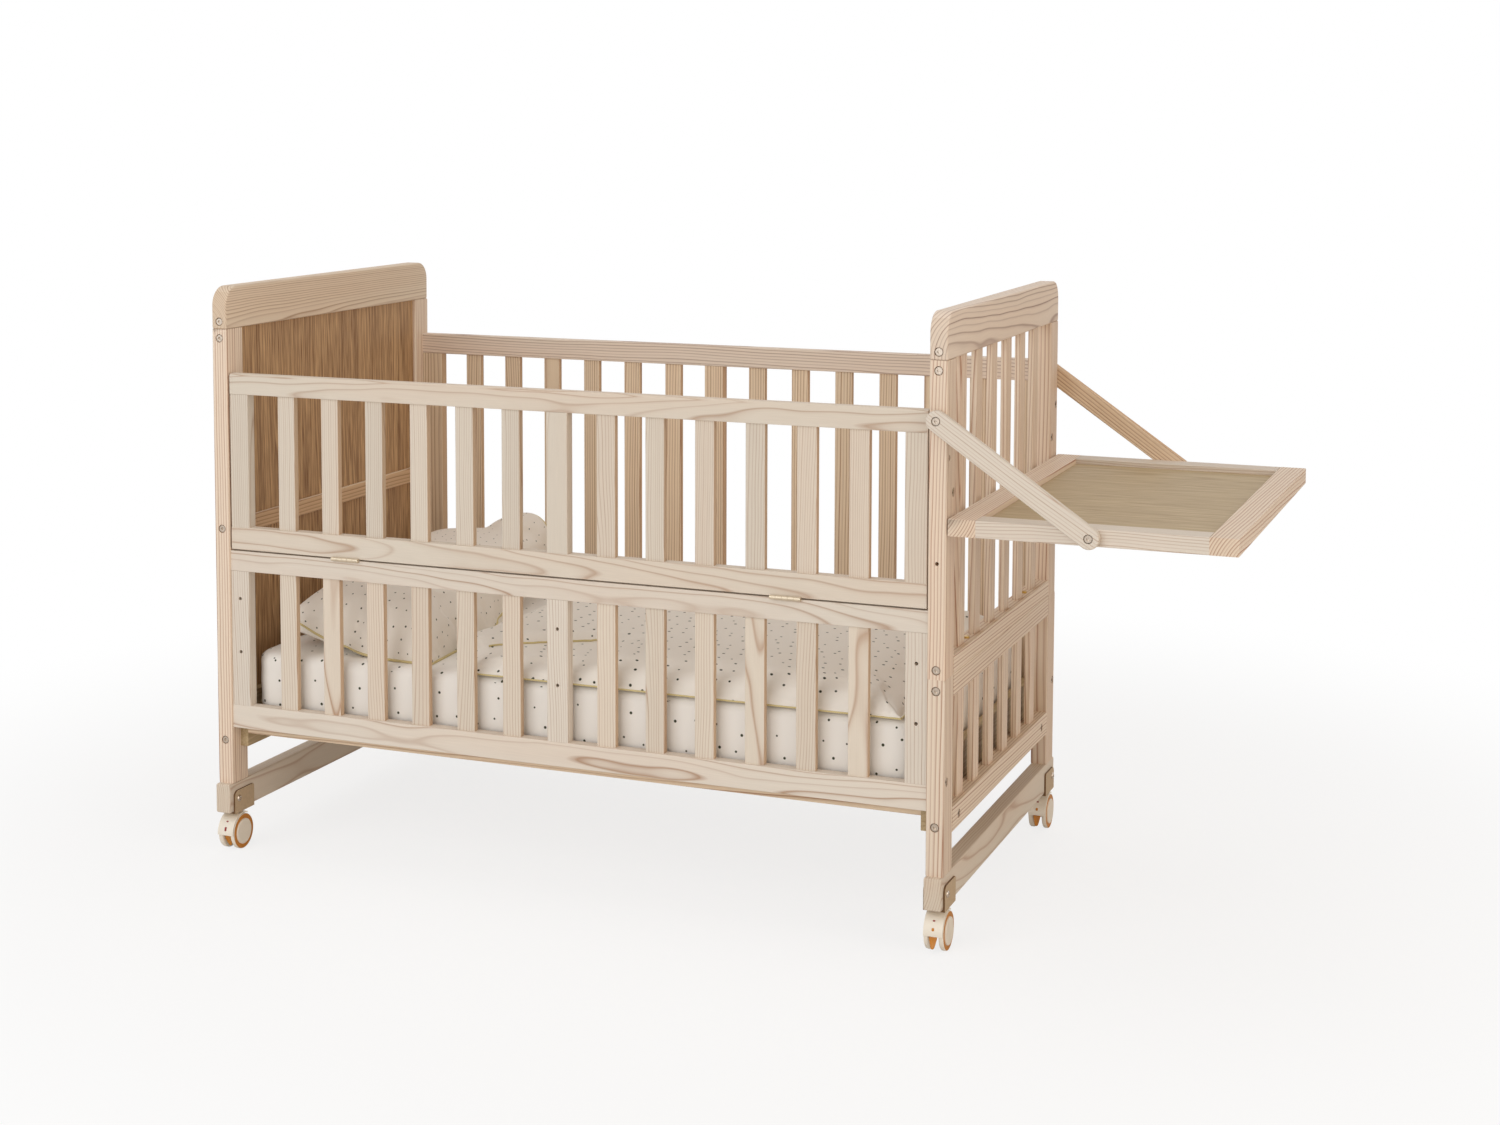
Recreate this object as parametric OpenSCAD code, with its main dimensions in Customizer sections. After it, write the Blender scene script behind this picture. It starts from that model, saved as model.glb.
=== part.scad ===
// Wooden crib on castors, with a fold-down gate and a changing tray bolted to its foot end.
// Crib axes: X runs from the head end to the foot end and on to the tray, Y from the gate
// side to the back, Z up from the floor. x = 0 is the head end's outer face and y = 0 is the
// posts' front face; placed() moves that corner frame to the middle of the whole object.

/* [Crib] */
// Length over the two ends
crib_len = 1280; // [1200:5:1400]
// Depth over the posts
crib_depth = 698; // [690:2:780]
// Height from the floor to the top rails
crib_h = 970; // [950:5:1030]

/* [End frames] */
// Thickness of the end frames
end_t = 28; // [26:1:32]
// Width of the stiles
stile_w = 48; // [44:1:56]
// Height of the rounded top rails
top_rail_h = 71.5; // [60:0.5:80]
// Radius of the top rails' corners
top_corner_r = 32; // [15:1:45]
// Gap between a runner and the bottom rail above it
runner_rail_gap = 56; // [50:1:64]
// Height of the ends' bottom rails
end_bottom_rail_h = 38; // [34:1:44]
// Height of the head end's lower panel
head_lower_panel_h = 331; // [300:1:350]
// Height of the head end's middle rail
head_mid_rail_h = 28; // [24:1:36]
// Thickness of the head end's plywood panels
head_panel_t = 6; // [4:0.5:9]
// How far the panels lie behind the head end's inner face
head_panel_recess = 6; // [4:0.5:9]
// Height of the foot end's lower section
foot_lower_h = 300; // [280:1:320]
// Height of the lower section's top rail
foot_lower_top_rail_h = 35; // [30:1:42]
// Height of the upper section's bottom rail
foot_upper_bottom_rail_h = 28; // [24:1:36]
// Number of slats in each section of the foot end
end_slat_n = 6; // [4:1:8]
// Width of the foot end's slats
end_slat_w = 32; // [26:1:36]
// Thickness of the foot end's slats
end_slat_t = 10; // [8:1:14]

/* [Side panels] */
// Thickness of the gate, the front panel and the back panel
panel_t = 20; // [18:1:22]
// How far the gate and front panel lie behind the posts' front face
front_setback = 4; // [3:0.5:6]
// Height of the panels' lower edge above the floor
panel_z = 217.5; // [215:0.5:225]
// Height of the fixed front panel
front_panel_h = 305; // [295:1:315]
// Gap at the seam between the front panel and the gate
seam = 2.5; // [2.4:0.1:3.5]
// Height of the gate
gate_h = 299; // [285:1:310]
// Height of the back panel
back_panel_h = 613.5; // [590:0.5:625]
// Height of the front and back panels' bottom rails
panel_bottom_rail_h = 40; // [35:1:45]
// Height of the front panel's top rail
front_top_rail_h = 34.5; // [30:0.5:40]
// Height of the gate's bottom rail
gate_bottom_rail_h = 38; // [34:1:44]
// Height of the gate's top rail
gate_top_rail_h = 35; // [30:1:42]
// Height of the back panel's top rail
back_top_rail_h = 38; // [32:1:44]
// Width of the front panel's and gate's end stiles
side_stile_w = 35; // [30:1:40]
// Width of the back panel's end stiles
back_stile_w = 42; // [36:1:48]
// Width of the centre stiles
centre_stile_w = 37; // [32:1:42]
// Gap between the gate's ends and the posts
gate_end_gap = 2.5; // [2.5:0.1:4]
// Distance between slat centres
slat_pitch = 83.7; // [76:0.1:92]
// Width of the side slats
slat_w = 32; // [26:1:36]
// Thickness of the side slats
slat_t = 12; // [10:1:15]
// Radius of the spare height holes in the front stiles
height_hole_r = 3; // [2:0.5:4]
// Height of the lower row of spare holes above the panel's lower edge
height_hole_z = 132; // [120:1:140]
// Distance between the two rows of spare holes
height_hole_step = 91.5; // [80:0.5:100]

/* [Gate hinges and latches] */
// Distance of the gate's hinges from the crib's middle
gate_hinge_x = 387; // [330:1:430]
// Length of a gate hinge
gate_hinge_l = 50; // [40:1:60]
// Radius of the gate hinges' knuckles
gate_knuckle_r = 3.5; // [3.2:0.1:4]
// Thickness of the gate hinges' leaves
gate_leaf_t = 1; // [0.8:0.05:1.05]
// Radius of a hinge's pin
hinge_pin_r = 1.5; // [1.3:0.1:1.8]
// Radius of a latch bolt
latch_r = 3; // [2.5:0.1:3.5]
// Play between a latch bolt and the hole in its post
latch_play = 1.4; // [1.3:0.1:2]
// Length of a latch bolt
latch_l = 30; // [24:1:31]
// Travel of a latch bolt
latch_travel = 14; // [12:0.5:15]
// Height of the latch bolts above the gate's lower edge
latch_up = 228; // [215:1:240]

/* [Runners and castors] */
// Height of the runners
runner_h = 50; // [46:1:56]
// How far a runner reaches past the posts
runner_overhang = 10; // [8:1:14]
// Diameter of the castor wheels
wheel_d = 60; // [56:1:61]
// Height of a castor, from the floor to its bracket
castor_h = 67; // [66:0.5:72]
// Width over a castor's two wheel caps
castor_w = 35; // [34:0.5:38]
// Width of the gap between a castor's wheels
wheel_gap = 15; // [14.5:0.25:16]
// Distance from the swivel axis back to the wheel axle
castor_trail = 3; // [3:0.5:5]
// Thickness of the castor brackets' steel
bracket_t = 3; // [2:0.25:3]
// Length of a castor bracket
bracket_l = 59; // [54:1:64]
// Distance from a runner's end to its bracket
bracket_inset = 11; // [11:0.5:14]
// Distance from a bracket's outer edge to the swivel axis
castor_stem_in = 24.5; // [24:0.5:28]
// Height of a castor bracket
bracket_h = 39; // [36:1:44]

/* [Bed base and bedding] */
// Height of the bed base's end boards
base_end_h = 93; // [85:1:100]
// Thickness of the bed base's end boards
base_end_t = 15; // [12:1:18]
// How far the end boards stand above the bed base's slats
base_lip_h = 28; // [20:1:34]
// Height of the bed base's side rails
base_side_h = 30; // [26:1:36]
// Thickness of the bed base's side rails
base_side_t = 20; // [16:1:26]
// Number of slats in the bed base
base_slat_n = 12; // [10:1:14]
// Width of a bed base slat
base_slat_w = 70; // [60:1:78]
// Thickness of a bed base slat
base_slat_t = 12; // [10:1:15]
// Thickness of the mattress
mattress_t = 100; // [80:1:110]
// Gap around the mattress
mattress_gap = 6; // [4:0.5:10]
// Radius of the mattress's long edges
mattress_edge_r = 12; // [10:1:30]
// Width of the pillow's near end, along the crib
pillow_w = 284; // [250:2:288]
// Length of the pillow, across the crib
pillow_l = 582; // [500:2:590]
// Thickness of the pillow's far half
pillow_t = 130; // [100:1:140]
// Length of the folded quilt, along the crib
quilt_l = 750; // [600:2:760]
// Thickness of the folded quilt
quilt_t = 42; // [34:1:50]
// Gap between the quilt and the side panels
quilt_gap = 2; // [1:0.5:6]

/* [Changing tray] */
// Length of the tray, out from the crib
tray_len = 424; // [380:1:460]
// Height of the tray's frame
tray_t = 26; // [22:1:30]
// Width of the tray's frame pieces
tray_frame_w = 42; // [36:1:50]
// Height of the tray's top above the floor
tray_z = 664; // [640:1:680]
// Gap between the tray and the foot end
tray_gap = 2; // [1:0.5:3]
// Thickness of the tray's plywood panel
tray_panel_t = 6; // [4:0.5:9]
// How far the panel lies below the tray's top
tray_panel_recess = 9; // [6:0.5:12]
// Distance of the tray's bolts from the posts' front and back faces
tray_bolt_y = 24; // [18:1:30]
// Width of a strut
strut_w = 32; // [28:1:32]
// Thickness of a strut
strut_t = 14; // [12:1:18]
// How far the struts' upper bolts lie below the crib's top
strut_top_drop = 160.5; // [130:0.5:190]
// Distance of the struts' lower bolts from the tray's inner end
strut_foot_x = 212; // [190:1:240]

/* [Bolts] */
// Radius of the frame bolts' shanks
bolt_r = 3; // [2.5:0.1:3.5]
// Radius of the frame bolts' heads
bolt_head_r = 5.6; // [5:0.1:6]
// Height of the frame bolts' heads
bolt_head_h = 4.5; // [3.5:0.1:5]
// Radius of the counterbores round the bolt heads
counterbore_r = 7; // [6.4:0.1:8]
// Depth of the counterbores
counterbore_d = 5.5; // [5:0.1:7]
// Length of a long frame bolt, through a stile into a rail
long_bolt = 70; // [60:1:72]
// Length of a short frame bolt, inside one piece
short_bolt = 36; // [30:1:38]
// Radius of the struts' bolts
strut_bolt_r = 4; // [3.5:0.1:4.5]
// How deep the struts' bolts go into the posts and the tray
strut_bolt_in = 34; // [28:1:36]

/* [Fits] */
// Radial clearance of a running fit
run_fit = 0.06; // [0.03:0.01:0.09]
// Clearance between moving pieces
move_gap = 0.5; // [0.3:0.05:0.6]
// Clearance under soft pieces
soft_gap = 0.3; // [0.2:0.05:0.5]

/* [Hidden] */

$fn = 48;
eps = 0.01;
pine = "#D7C3A5";
pine_shade = "#C9AE8A";
plywood = "#9B8264";
tray_ply = "#A8946C";
steel = "#B9B4A6";
bronze = "#8F7B63";
cream = "#E9E2CC";
orange = "#C87832";
linen = "#EFEDE8";

// Levels and places along the crib
foot_in = crib_len - end_t;
mid_x = crib_len / 2;
mid_y = crib_depth / 2;
runner_z = castor_h + bracket_t;
post_z = runner_z + runner_h;
end_rail_z = post_z + runner_rail_gap;
top_joint_z = crib_h - top_rail_h;
head_mid_z = end_rail_z + end_bottom_rail_h + head_lower_panel_h;
foot_joint_z = post_z + foot_lower_h;
seam_z = panel_z + front_panel_h;
gate_z = seam_z + seam;
front_in = front_setback + panel_t;
back_in = crib_depth - panel_t;
inner_len = crib_len - 2 * end_t;
gate_len = inner_len - 2 * gate_end_gap;
latch_z = gate_z + latch_up;

// Slats of the side panels, as many as fit between the centre and end stiles
slat_end_gap_min = 25;
half_open = inner_len / 2 - max(side_stile_w, back_stile_w);
slats_per_half = floor((half_open - slat_w / 2 - slat_end_gap_min) / slat_pitch);

// Bed base and bedding levels
base_z = end_rail_z + 4;
deck_z = base_z + base_end_h - base_lip_h;
mattress_z = deck_z + soft_gap;
bed_top = mattress_z + mattress_t;
bedding_z = bed_top + soft_gap;

// Castor places
castor_front_y = bracket_inset + castor_stem_in - runner_overhang;
castor_back_y = crib_depth - castor_front_y;
castor_head_x = end_t / 2;
castor_foot_x = crib_len - end_t / 2;
axle_z = wheel_d / 2;
axle_r = 4;
stem_r = 4;
hood_clear = 1.2;
hood_wall = 2.4;
hood_r = wheel_d / 2 + hood_clear + hood_wall;
cap_t = 2;
web_w = wheel_gap - 2 * move_gap;
bracket_bolt_in = 12.5;
bracket_bolt_y = castor_front_y - castor_stem_in + bracket_bolt_in;
bracket_bolt_z = runner_z + 21.5;
bracket_bolt_r = 4;
bracket_head_r = 5.75;
bracket_head_h = 3;

// Tray and its struts
tray_x = crib_len + tray_gap;
tray_bottom = tray_z - tray_t;
tray_mid_z = tray_z - tray_t / 2;
strut_top = [castor_foot_x, crib_h - strut_top_drop];
strut_foot = [tray_x + strut_foot_x, tray_mid_z];
strut_span = strut_foot - strut_top;
strut_l = norm(strut_span);
strut_slope = atan2(-strut_span[1], strut_span[0]);
gate_axis_y = front_setback - gate_knuckle_r - 0.2;
gate_axis_z = seam_z + seam / 2;

// The whole object's box, whose bottom centre is the origin
box_x0 = min(castor_head_x - castor_w / 2, -bracket_t - bracket_head_h);
box_x1 = tray_x + tray_len;
box_y0 = -max(runner_overhang, strut_t);
box_y1 = crib_depth - box_y0;

// Frame bolts: heights of the bolts in the narrow faces, with their lengths
top_bolt_up = 12.5;
top_bolt_down = 15.5;
end_rail_zc = end_rail_z + end_bottom_rail_h / 2;
head_bolts = [
    [top_joint_z + top_bolt_up, short_bolt], [top_joint_z - top_bolt_down, short_bolt],
    [head_mid_z + head_mid_rail_h / 2, long_bolt], [end_rail_zc, long_bolt]
];
foot_bolts = [
    [top_joint_z + top_bolt_up, short_bolt], [top_joint_z - top_bolt_down, short_bolt],
    [foot_joint_z + foot_upper_bottom_rail_h / 2, long_bolt],
    [foot_joint_z - foot_lower_top_rail_h / 2, long_bolt], [end_rail_zc, long_bolt]
];
// Bolts driven along X through the ends: side panels, bed base and the tray's stiles
panel_bolt_up = 5.5;
panel_bolt_in = 25;
panel_bolt_z = panel_z + panel_bottom_rail_h + panel_bolt_up;
panel_bolt_l = end_t + panel_bolt_in;
base_bolt_y = 85;
base_bolt_short = 2;
base_bolt_l = end_t - counterbore_d + base_end_t - base_bolt_short;
stile_bolt_y = 36;
stile_bolt_up = 34;
stile_bolt_z = tray_z + stile_bolt_up;
stile_bolt_short = 4;
stile_bolt_l = end_t - counterbore_d - stile_bolt_short;
front_panel_y = front_setback + panel_t / 2;
back_panel_y = crib_depth - panel_t / 2;

module placed() {
    translate([-(box_x0 + box_x1) / 2, -(box_y0 + box_y1) / 2, 0]) children();
}

module bar(x0, x1, y0, y1, z0, z1) {
    translate([x0, y0, z0]) cube([x1 - x0, y1 - y0, z1 - z0]);
}

// A cylinder along X, from x0 to x1
module rod_x(x0, x1, y, z, r) {
    translate([x0, y, z]) rotate([0, 90, 0]) cylinder(h = x1 - x0, r = r);
}

// A cylinder along Y, from y0 to y1
module rod_y(x, y0, y1, z, r) {
    translate([x, y1, z]) rotate([90, 0, 0]) cylinder(h = y1 - y0, r = r);
}

// ---- Bolts ----

// A socket-head bolt: the underside of its head is at z = 0 and the shank points up
module socket_bolt(length, r = bolt_r) {
    difference() {
        union() {
            translate([0, 0, -bolt_head_h]) cylinder(h = bolt_head_h, r = bolt_head_r);
            cylinder(h = length, r = r);
        }
        translate([0, 0, -bolt_head_h - eps]) cylinder(h = bolt_head_h / 2, r = bolt_head_r / 2, $fn = 6);
    }
}

// The hole that a socket-head bolt sits in, with its counterbore
module bolt_hole(length, r = bolt_r) {
    translate([0, 0, -counterbore_d - eps]) cylinder(h = counterbore_d + eps, r = counterbore_r);
    cylinder(h = length + 0.5, r = r + run_fit);
}

// Everything along Y in the narrow faces of one end, front and back
module narrow_face_bolts(x, levels, hole) {
    for (level = levels) {
        translate([x, counterbore_d, level[0]]) rotate([-90, 0, 0]) bolt_or_hole(level[1], hole);
        translate([x, crib_depth - counterbore_d, level[0]]) rotate([90, 0, 0])
            bolt_or_hole(level[1], hole);
    }
}

module bolt_or_hole(length, hole) {
    if (hole) bolt_hole(length);
    else socket_bolt(length);
}

// A bolt along X in the outer face of an end: side is 1 at the foot, -1 at the head
module outer_face_bolt(side, y, z, length, hole) {
    x = side > 0 ? crib_len - counterbore_d : counterbore_d;
    translate([x, y, z]) rotate([0, -90 * side, 0]) bolt_or_hole(length, hole);
}

module end_bolts(side, hole) {
    narrow_face_bolts(side > 0 ? castor_foot_x : castor_head_x, side > 0 ? foot_bolts : head_bolts, hole);
    for (y = [front_panel_y, back_panel_y])
        outer_face_bolt(side, y, panel_bolt_z, panel_bolt_l - counterbore_d, hole);
    for (y = [base_bolt_y, crib_depth - base_bolt_y])
        outer_face_bolt(side, y, end_rail_zc, base_bolt_l, hole);
    outer_face_bolt(side, back_panel_y, latch_z, panel_bolt_l - counterbore_d, hole);
    if (side > 0)
        for (y = [stile_bolt_y, crib_depth - stile_bolt_y])
            outer_face_bolt(side, y, stile_bolt_z, stile_bolt_l, hole);
}

module frame_bolts() {
    color(steel) placed() for (side = [-1, 1]) end_bolts(side, false);
}

// A wooden piece of one end, drilled for its bolts, latch and strut
module drilled(side) {
    difference() {
        children();
        end_bolts(side, true);
        latch_hole(side);
        if (side > 0) strut_post_holes();
        if (side > 0) tray_bolt_places() bolt_hole(tray_bolt_l);
    }
}

module latch_hole(side) {
    x0 = side > 0 ? foot_in - eps : -eps;
    rod_x(x0, x0 + end_t + 2 * eps, front_panel_y, latch_z, latch_r + latch_play);
}

// The struts' upper bolts, and a spare hole below the tray in each post
spare_hole_z = 69;
spare_hole_d = 20;
module strut_post_holes() {
    strut_bolt_holes(strut_top);
    for (y = [[-eps, spare_hole_d], [crib_depth - spare_hole_d, crib_depth + eps]])
        rod_y(castor_foot_x, y[0], y[1], tray_z - spare_hole_z, height_hole_r);
}

module strut_bolt_holes(place) {
    rod_y(place[0], -eps, strut_bolt_in + 1, place[1], strut_bolt_r + run_fit);
    rod_y(place[0], crib_depth - strut_bolt_in - 1, crib_depth + eps, place[1], strut_bolt_r + run_fit);
}

// Bolts from inside the foot end, through each post and a spacer into the tray
tray_bolt_in = 32;
tray_bolt_l = end_t - counterbore_d + tray_gap + tray_bolt_in;
module tray_bolt_places() {
    for (y = [tray_bolt_y, crib_depth - tray_bolt_y])
        translate([foot_in + counterbore_d, y, tray_mid_z]) rotate([0, 90, 0]) children();
}

// ---- End frames ----

// The top rail, with rounded upper corners, spans both stiles
module end_top_rail(x0) {
    translate([x0, 0, top_joint_z]) rotate([90, 0, 90]) linear_extrude(end_t) {
        square([crib_depth, top_rail_h - top_corner_r]);
        translate([top_corner_r, 0]) square([crib_depth - 2 * top_corner_r, top_rail_h]);
        for (y = [top_corner_r, crib_depth - top_corner_r])
            translate([y, top_rail_h - top_corner_r]) circle(r = top_corner_r);
    }
}

module stile_pair(x0, z0, z1) {
    bar(x0, x0 + end_t, 0, stile_w, z0, z1);
    bar(x0, x0 + end_t, crib_depth - stile_w, crib_depth, z0, z1);
}

module cross_rail(x0, z0, height) {
    bar(x0, x0 + end_t, stile_w, crib_depth - stile_w, z0, z0 + height);
}

module head_top_rail() { color(pine) placed() drilled(-1) end_top_rail(0); }

module head_stiles() { color(pine) placed() drilled(-1) stile_pair(0, post_z, top_joint_z); }

module head_mid_rail() { color(pine_shade) placed() drilled(-1) cross_rail(0, head_mid_z, head_mid_rail_h); }

module head_bottom_rail() {
    color(pine_shade) placed() drilled(-1) cross_rail(0, end_rail_z, end_bottom_rail_h);
}

// Two plywood panels between the rails, set back from the inner face
module head_panels() {
    x1 = end_t - head_panel_recess;
    color(plywood) placed() {
        bar(x1 - head_panel_t, x1, stile_w, crib_depth - stile_w, end_rail_z + end_bottom_rail_h, head_mid_z);
        bar(x1 - head_panel_t, x1, stile_w, crib_depth - stile_w, head_mid_z + head_mid_rail_h, top_joint_z);
    }
}

module foot_top_rail() { color(pine) placed() drilled(1) end_top_rail(foot_in); }

module foot_upper_stiles() { color(pine) placed() drilled(1) stile_pair(foot_in, foot_joint_z, top_joint_z); }

module foot_upper_bottom_rail() {
    color(pine) placed() drilled(1) difference() {
        cross_rail(foot_in, foot_joint_z, foot_upper_bottom_rail_h);
        section_screw_places() section_screw(screw_fit);
    }
}

module foot_lower_top_rail() {
    color(pine) placed() drilled(1) difference() {
        cross_rail(foot_in, foot_joint_z - foot_lower_top_rail_h, foot_lower_top_rail_h);
        section_screw_places() section_screw(screw_fit);
    }
}

module foot_lower_stiles() { color(pine) placed() drilled(1) stile_pair(foot_in, post_z, foot_joint_z); }

module foot_lower_bottom_rail() {
    color(pine) placed() drilled(1) cross_rail(foot_in, end_rail_z, end_bottom_rail_h);
}

// Slats spread evenly between the foot end's stiles
end_open = crib_depth - 2 * stile_w;
end_slat_gap = (end_open - end_slat_n * end_slat_w) / (end_slat_n + 1);
function end_slat_y(i) = stile_w + end_slat_gap * (i + 1) + end_slat_w * i;

module end_slats(z0, z1) {
    x0 = castor_foot_x - end_slat_t / 2;
    for (i = [0 : end_slat_n - 1])
        bar(x0, x0 + end_slat_t, end_slat_y(i), end_slat_y(i) + end_slat_w, z0, z1);
}

module foot_upper_slats() {
    color(pine) placed() end_slats(foot_joint_z + foot_upper_bottom_rail_h, top_joint_z);
}

module foot_lower_slats() {
    color(pine) placed() end_slats(end_rail_z + end_bottom_rail_h, foot_joint_z - foot_lower_top_rail_h);
}

// Two brass screws tie the foot end's sections together, in the gaps beside the outer slats
screw_r = 2.5;
screw_l = 48;
screw_head_r = 5;
screw_head_h = 3;
screw_fit = 0.05;

module section_screw(fit) {
    cylinder(h = screw_l + fit, r = screw_r + fit);
    if (fit == 0) translate([0, 0, screw_l]) cylinder(h = screw_head_h, r = screw_head_r);
}

module section_screw_places() {
    y = end_slat_y(1) - end_slat_gap / 2;
    for (place = [y, crib_depth - y])
        translate([castor_foot_x, place, foot_joint_z + foot_upper_bottom_rail_h - screw_l]) children();
}

module section_screws() { color("#C9A227") placed() section_screw_places() section_screw(0); }

// ---- Side panels ----

module panel_rail(x0, x1, y0, z0, height) { bar(x0, x1, y0, y0 + panel_t, z0, z0 + height); }

// End and centre stiles of a side panel, between z0 and z1
module panel_stiles(x0, x1, y0, z0, z1, width) {
    bar(x0, x0 + width, y0, y0 + panel_t, z0, z1);
    bar(x1 - width, x1, y0, y0 + panel_t, z0, z1);
    bar(mid_x - centre_stile_w / 2, mid_x + centre_stile_w / 2, y0, y0 + panel_t, z0, z1);
}

module panel_slats(y0, z0, z1) {
    y = y0 + (panel_t - slat_t) / 2;
    for (side = [-1, 1], i = [1 : slats_per_half])
        translate([mid_x + side * i * slat_pitch - slat_w / 2, y, z0]) cube([slat_w, slat_t, z1 - z0]);
}

front_open_z0 = panel_z + panel_bottom_rail_h;
front_open_z1 = seam_z - front_top_rail_h;

module front_rails() {
    color(pine) placed() {
        panel_rail(end_t, foot_in, front_setback, panel_z, panel_bottom_rail_h);
        panel_rail(end_t, foot_in, front_setback, front_open_z1, front_top_rail_h);
    }
}

// The stiles have two spare holes each, for setting the bed base higher
module front_stiles() {
    hole_x = side_stile_w / 2;
    color(pine) placed() difference() {
        panel_stiles(end_t, foot_in, front_setback, front_open_z0, front_open_z1, side_stile_w);
        for (x = [end_t + hole_x, mid_x, foot_in - hole_x], k = [0, 1])
            rod_y(x, front_setback - eps, front_in + eps,
                  panel_z + height_hole_z + k * height_hole_step, height_hole_r);
        for (side = [-1, 1]) end_bolts(side, true);
    }
}

module front_slats() { color(pine) placed() panel_slats(front_setback, front_open_z0, front_open_z1); }

back_open_z1 = panel_z + back_panel_h - back_top_rail_h;

module back_rails() {
    color(pine_shade) placed() {
        panel_rail(end_t, foot_in, back_in, panel_z, panel_bottom_rail_h);
        panel_rail(end_t, foot_in, back_in, back_open_z1, back_top_rail_h);
    }
}

module back_stiles() {
    color(pine_shade) placed() difference() {
        panel_stiles(end_t, foot_in, back_in, front_open_z0, back_open_z1, back_stile_w);
        for (side = [-1, 1]) end_bolts(side, true);
    }
}

module back_slats() { color(pine_shade) placed() panel_slats(back_in, front_open_z0, back_open_z1); }

// ---- Gate ----

gate_x0 = end_t + gate_end_gap;
gate_x1 = foot_in - gate_end_gap;
gate_open_z0 = gate_z + gate_bottom_rail_h;
gate_open_z1 = gate_z + gate_h - gate_top_rail_h;
gate_bevel = 3;
latch_back = 1;
latch_slot_w = 6;
knob_x = 20;
knob_stem_r = 2.5;
knob_r = 5;
knob_h = 8;

// The top rail's two long upper edges are bevelled
module bevelled_rail() {
    translate([gate_x0, front_setback, gate_open_z1]) rotate([90, 0, 90]) linear_extrude(gate_len)
        polygon([
            [0, 0], [panel_t, 0], [panel_t, gate_top_rail_h - gate_bevel],
            [panel_t - gate_bevel, gate_top_rail_h], [gate_bevel, gate_top_rail_h],
            [0, gate_top_rail_h - gate_bevel]
        ]);
}

module gate_rails() {
    color(pine) placed() {
        panel_rail(gate_x0, gate_x1, front_setback, gate_z, gate_bottom_rail_h);
        bevelled_rail();
    }
}

// Each end stile is bored for its latch bolt and slotted at the back for the knob
module latch_bore(side) {
    x_end = side > 0 ? gate_x1 : gate_x0;
    depth = latch_back + latch_l + 1;
    slot_l = latch_travel + 2 * knob_stem_r + 2;
    x_in = side > 0 ? x_end - depth : x_end - eps;
    rod_x(x_in, x_in + depth + eps, front_panel_y, latch_z, latch_r + run_fit);
    slot_x = side > 0 ? x_end - latch_back - knob_x - knob_stem_r - 1
                      : x_end + latch_back + knob_x + knob_stem_r + 1 - slot_l;
    translate([slot_x, front_panel_y, latch_z - latch_slot_w / 2])
        cube([slot_l, panel_t, latch_slot_w]);
}

module gate_stiles() {
    color(pine) placed() difference() {
        panel_stiles(gate_x0, gate_x1, front_setback, gate_open_z0, gate_open_z1, side_stile_w);
        for (side = [-1, 1]) latch_bore(side);
    }
}

module gate_slats() { color(pine) placed() panel_slats(front_setback, gate_open_z0, gate_open_z1); }

// A latch bolt with its knob, drawn back into the gate's stile at rest
module latch(side) {
    tip = side > 0 ? gate_x1 - latch_back : gate_x0 + latch_back;
    knob = tip - side * knob_x;
    color(steel) placed() {
        rod_x(min(tip, tip - side * latch_l), max(tip, tip - side * latch_l), front_panel_y, latch_z, latch_r);
        rod_y(knob, front_panel_y, front_in + move_gap + 1, latch_z, knob_stem_r);
        rod_y(knob, front_in + move_gap, front_in + move_gap + knob_h, latch_z, knob_r);
    }
}

module gate_latch_left() { latch(-1); }

module gate_latch_right() { latch(1); }

// ---- Gate hinges ----

module gate_hinge_places() {
    for (side = [-1, 1])
        translate([mid_x + side * gate_hinge_x, gate_axis_y, gate_axis_z]) children();
}

knuckle_n = 5;
knuckle_gap = 0.4;

// Every second knuckle of a hinge along X, starting at the first or the second
module knuckles(length, r, first) {
    step = (length + knuckle_gap) / knuckle_n;
    for (i = [first : 2 : knuckle_n - 1])
        rod_x(-length / 2 + i * step, -length / 2 + (i + 1) * step - knuckle_gap, 0, 0, r);
}

leaf_gap = 0.4;
leaf_back = 2;

// A flat leaf in the seam: side is 1 for the gate's leaf, -1 for the front panel's
module gate_leaf(side) {
    z0 = side > 0 ? seam / 2 - gate_leaf_t : -seam / 2;
    y0 = gate_knuckle_r + leaf_gap;
    translate([-gate_hinge_l / 2, y0, z0])
        cube([gate_hinge_l, front_in - leaf_back - gate_axis_y - y0, gate_leaf_t]);
    step = (gate_hinge_l + knuckle_gap) / knuckle_n;
    for (i = [side > 0 ? 1 : 0 : 2 : knuckle_n - 1])
        translate([-gate_hinge_l / 2 + i * step, hinge_pin_r + leaf_gap, z0])
            cube([step - knuckle_gap, y0, gate_leaf_t]);
}

module gate_hinge_fixed_leaves() {
    color(bronze) placed() gate_hinge_places() {
        gate_leaf(-1);
        knuckles(gate_hinge_l, gate_knuckle_r, 0);
        rod_x(-gate_hinge_l / 2, gate_hinge_l / 2, 0, 0, hinge_pin_r);
    }
}

module gate_hinge_moving_leaves() {
    color(bronze) placed() gate_hinge_places() difference() {
        union() {
            gate_leaf(1);
            knuckles(gate_hinge_l, gate_knuckle_r, 1);
        }
        rod_x(-gate_hinge_l / 2 - 1, gate_hinge_l / 2 + 1, 0, 0, hinge_pin_r + run_fit);
    }
}

// ---- Bed base ----

module base_end_boards() {
    color(plywood) placed() difference() {
        for (x = [end_t, foot_in - base_end_t])
            bar(x, x + base_end_t, front_in + 2, back_in - 2, base_z, base_z + base_end_h);
        for (side = [-1, 1]) end_bolts(side, true);
    }
}

side_rail_z = deck_z - base_slat_t - base_side_h;

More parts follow.
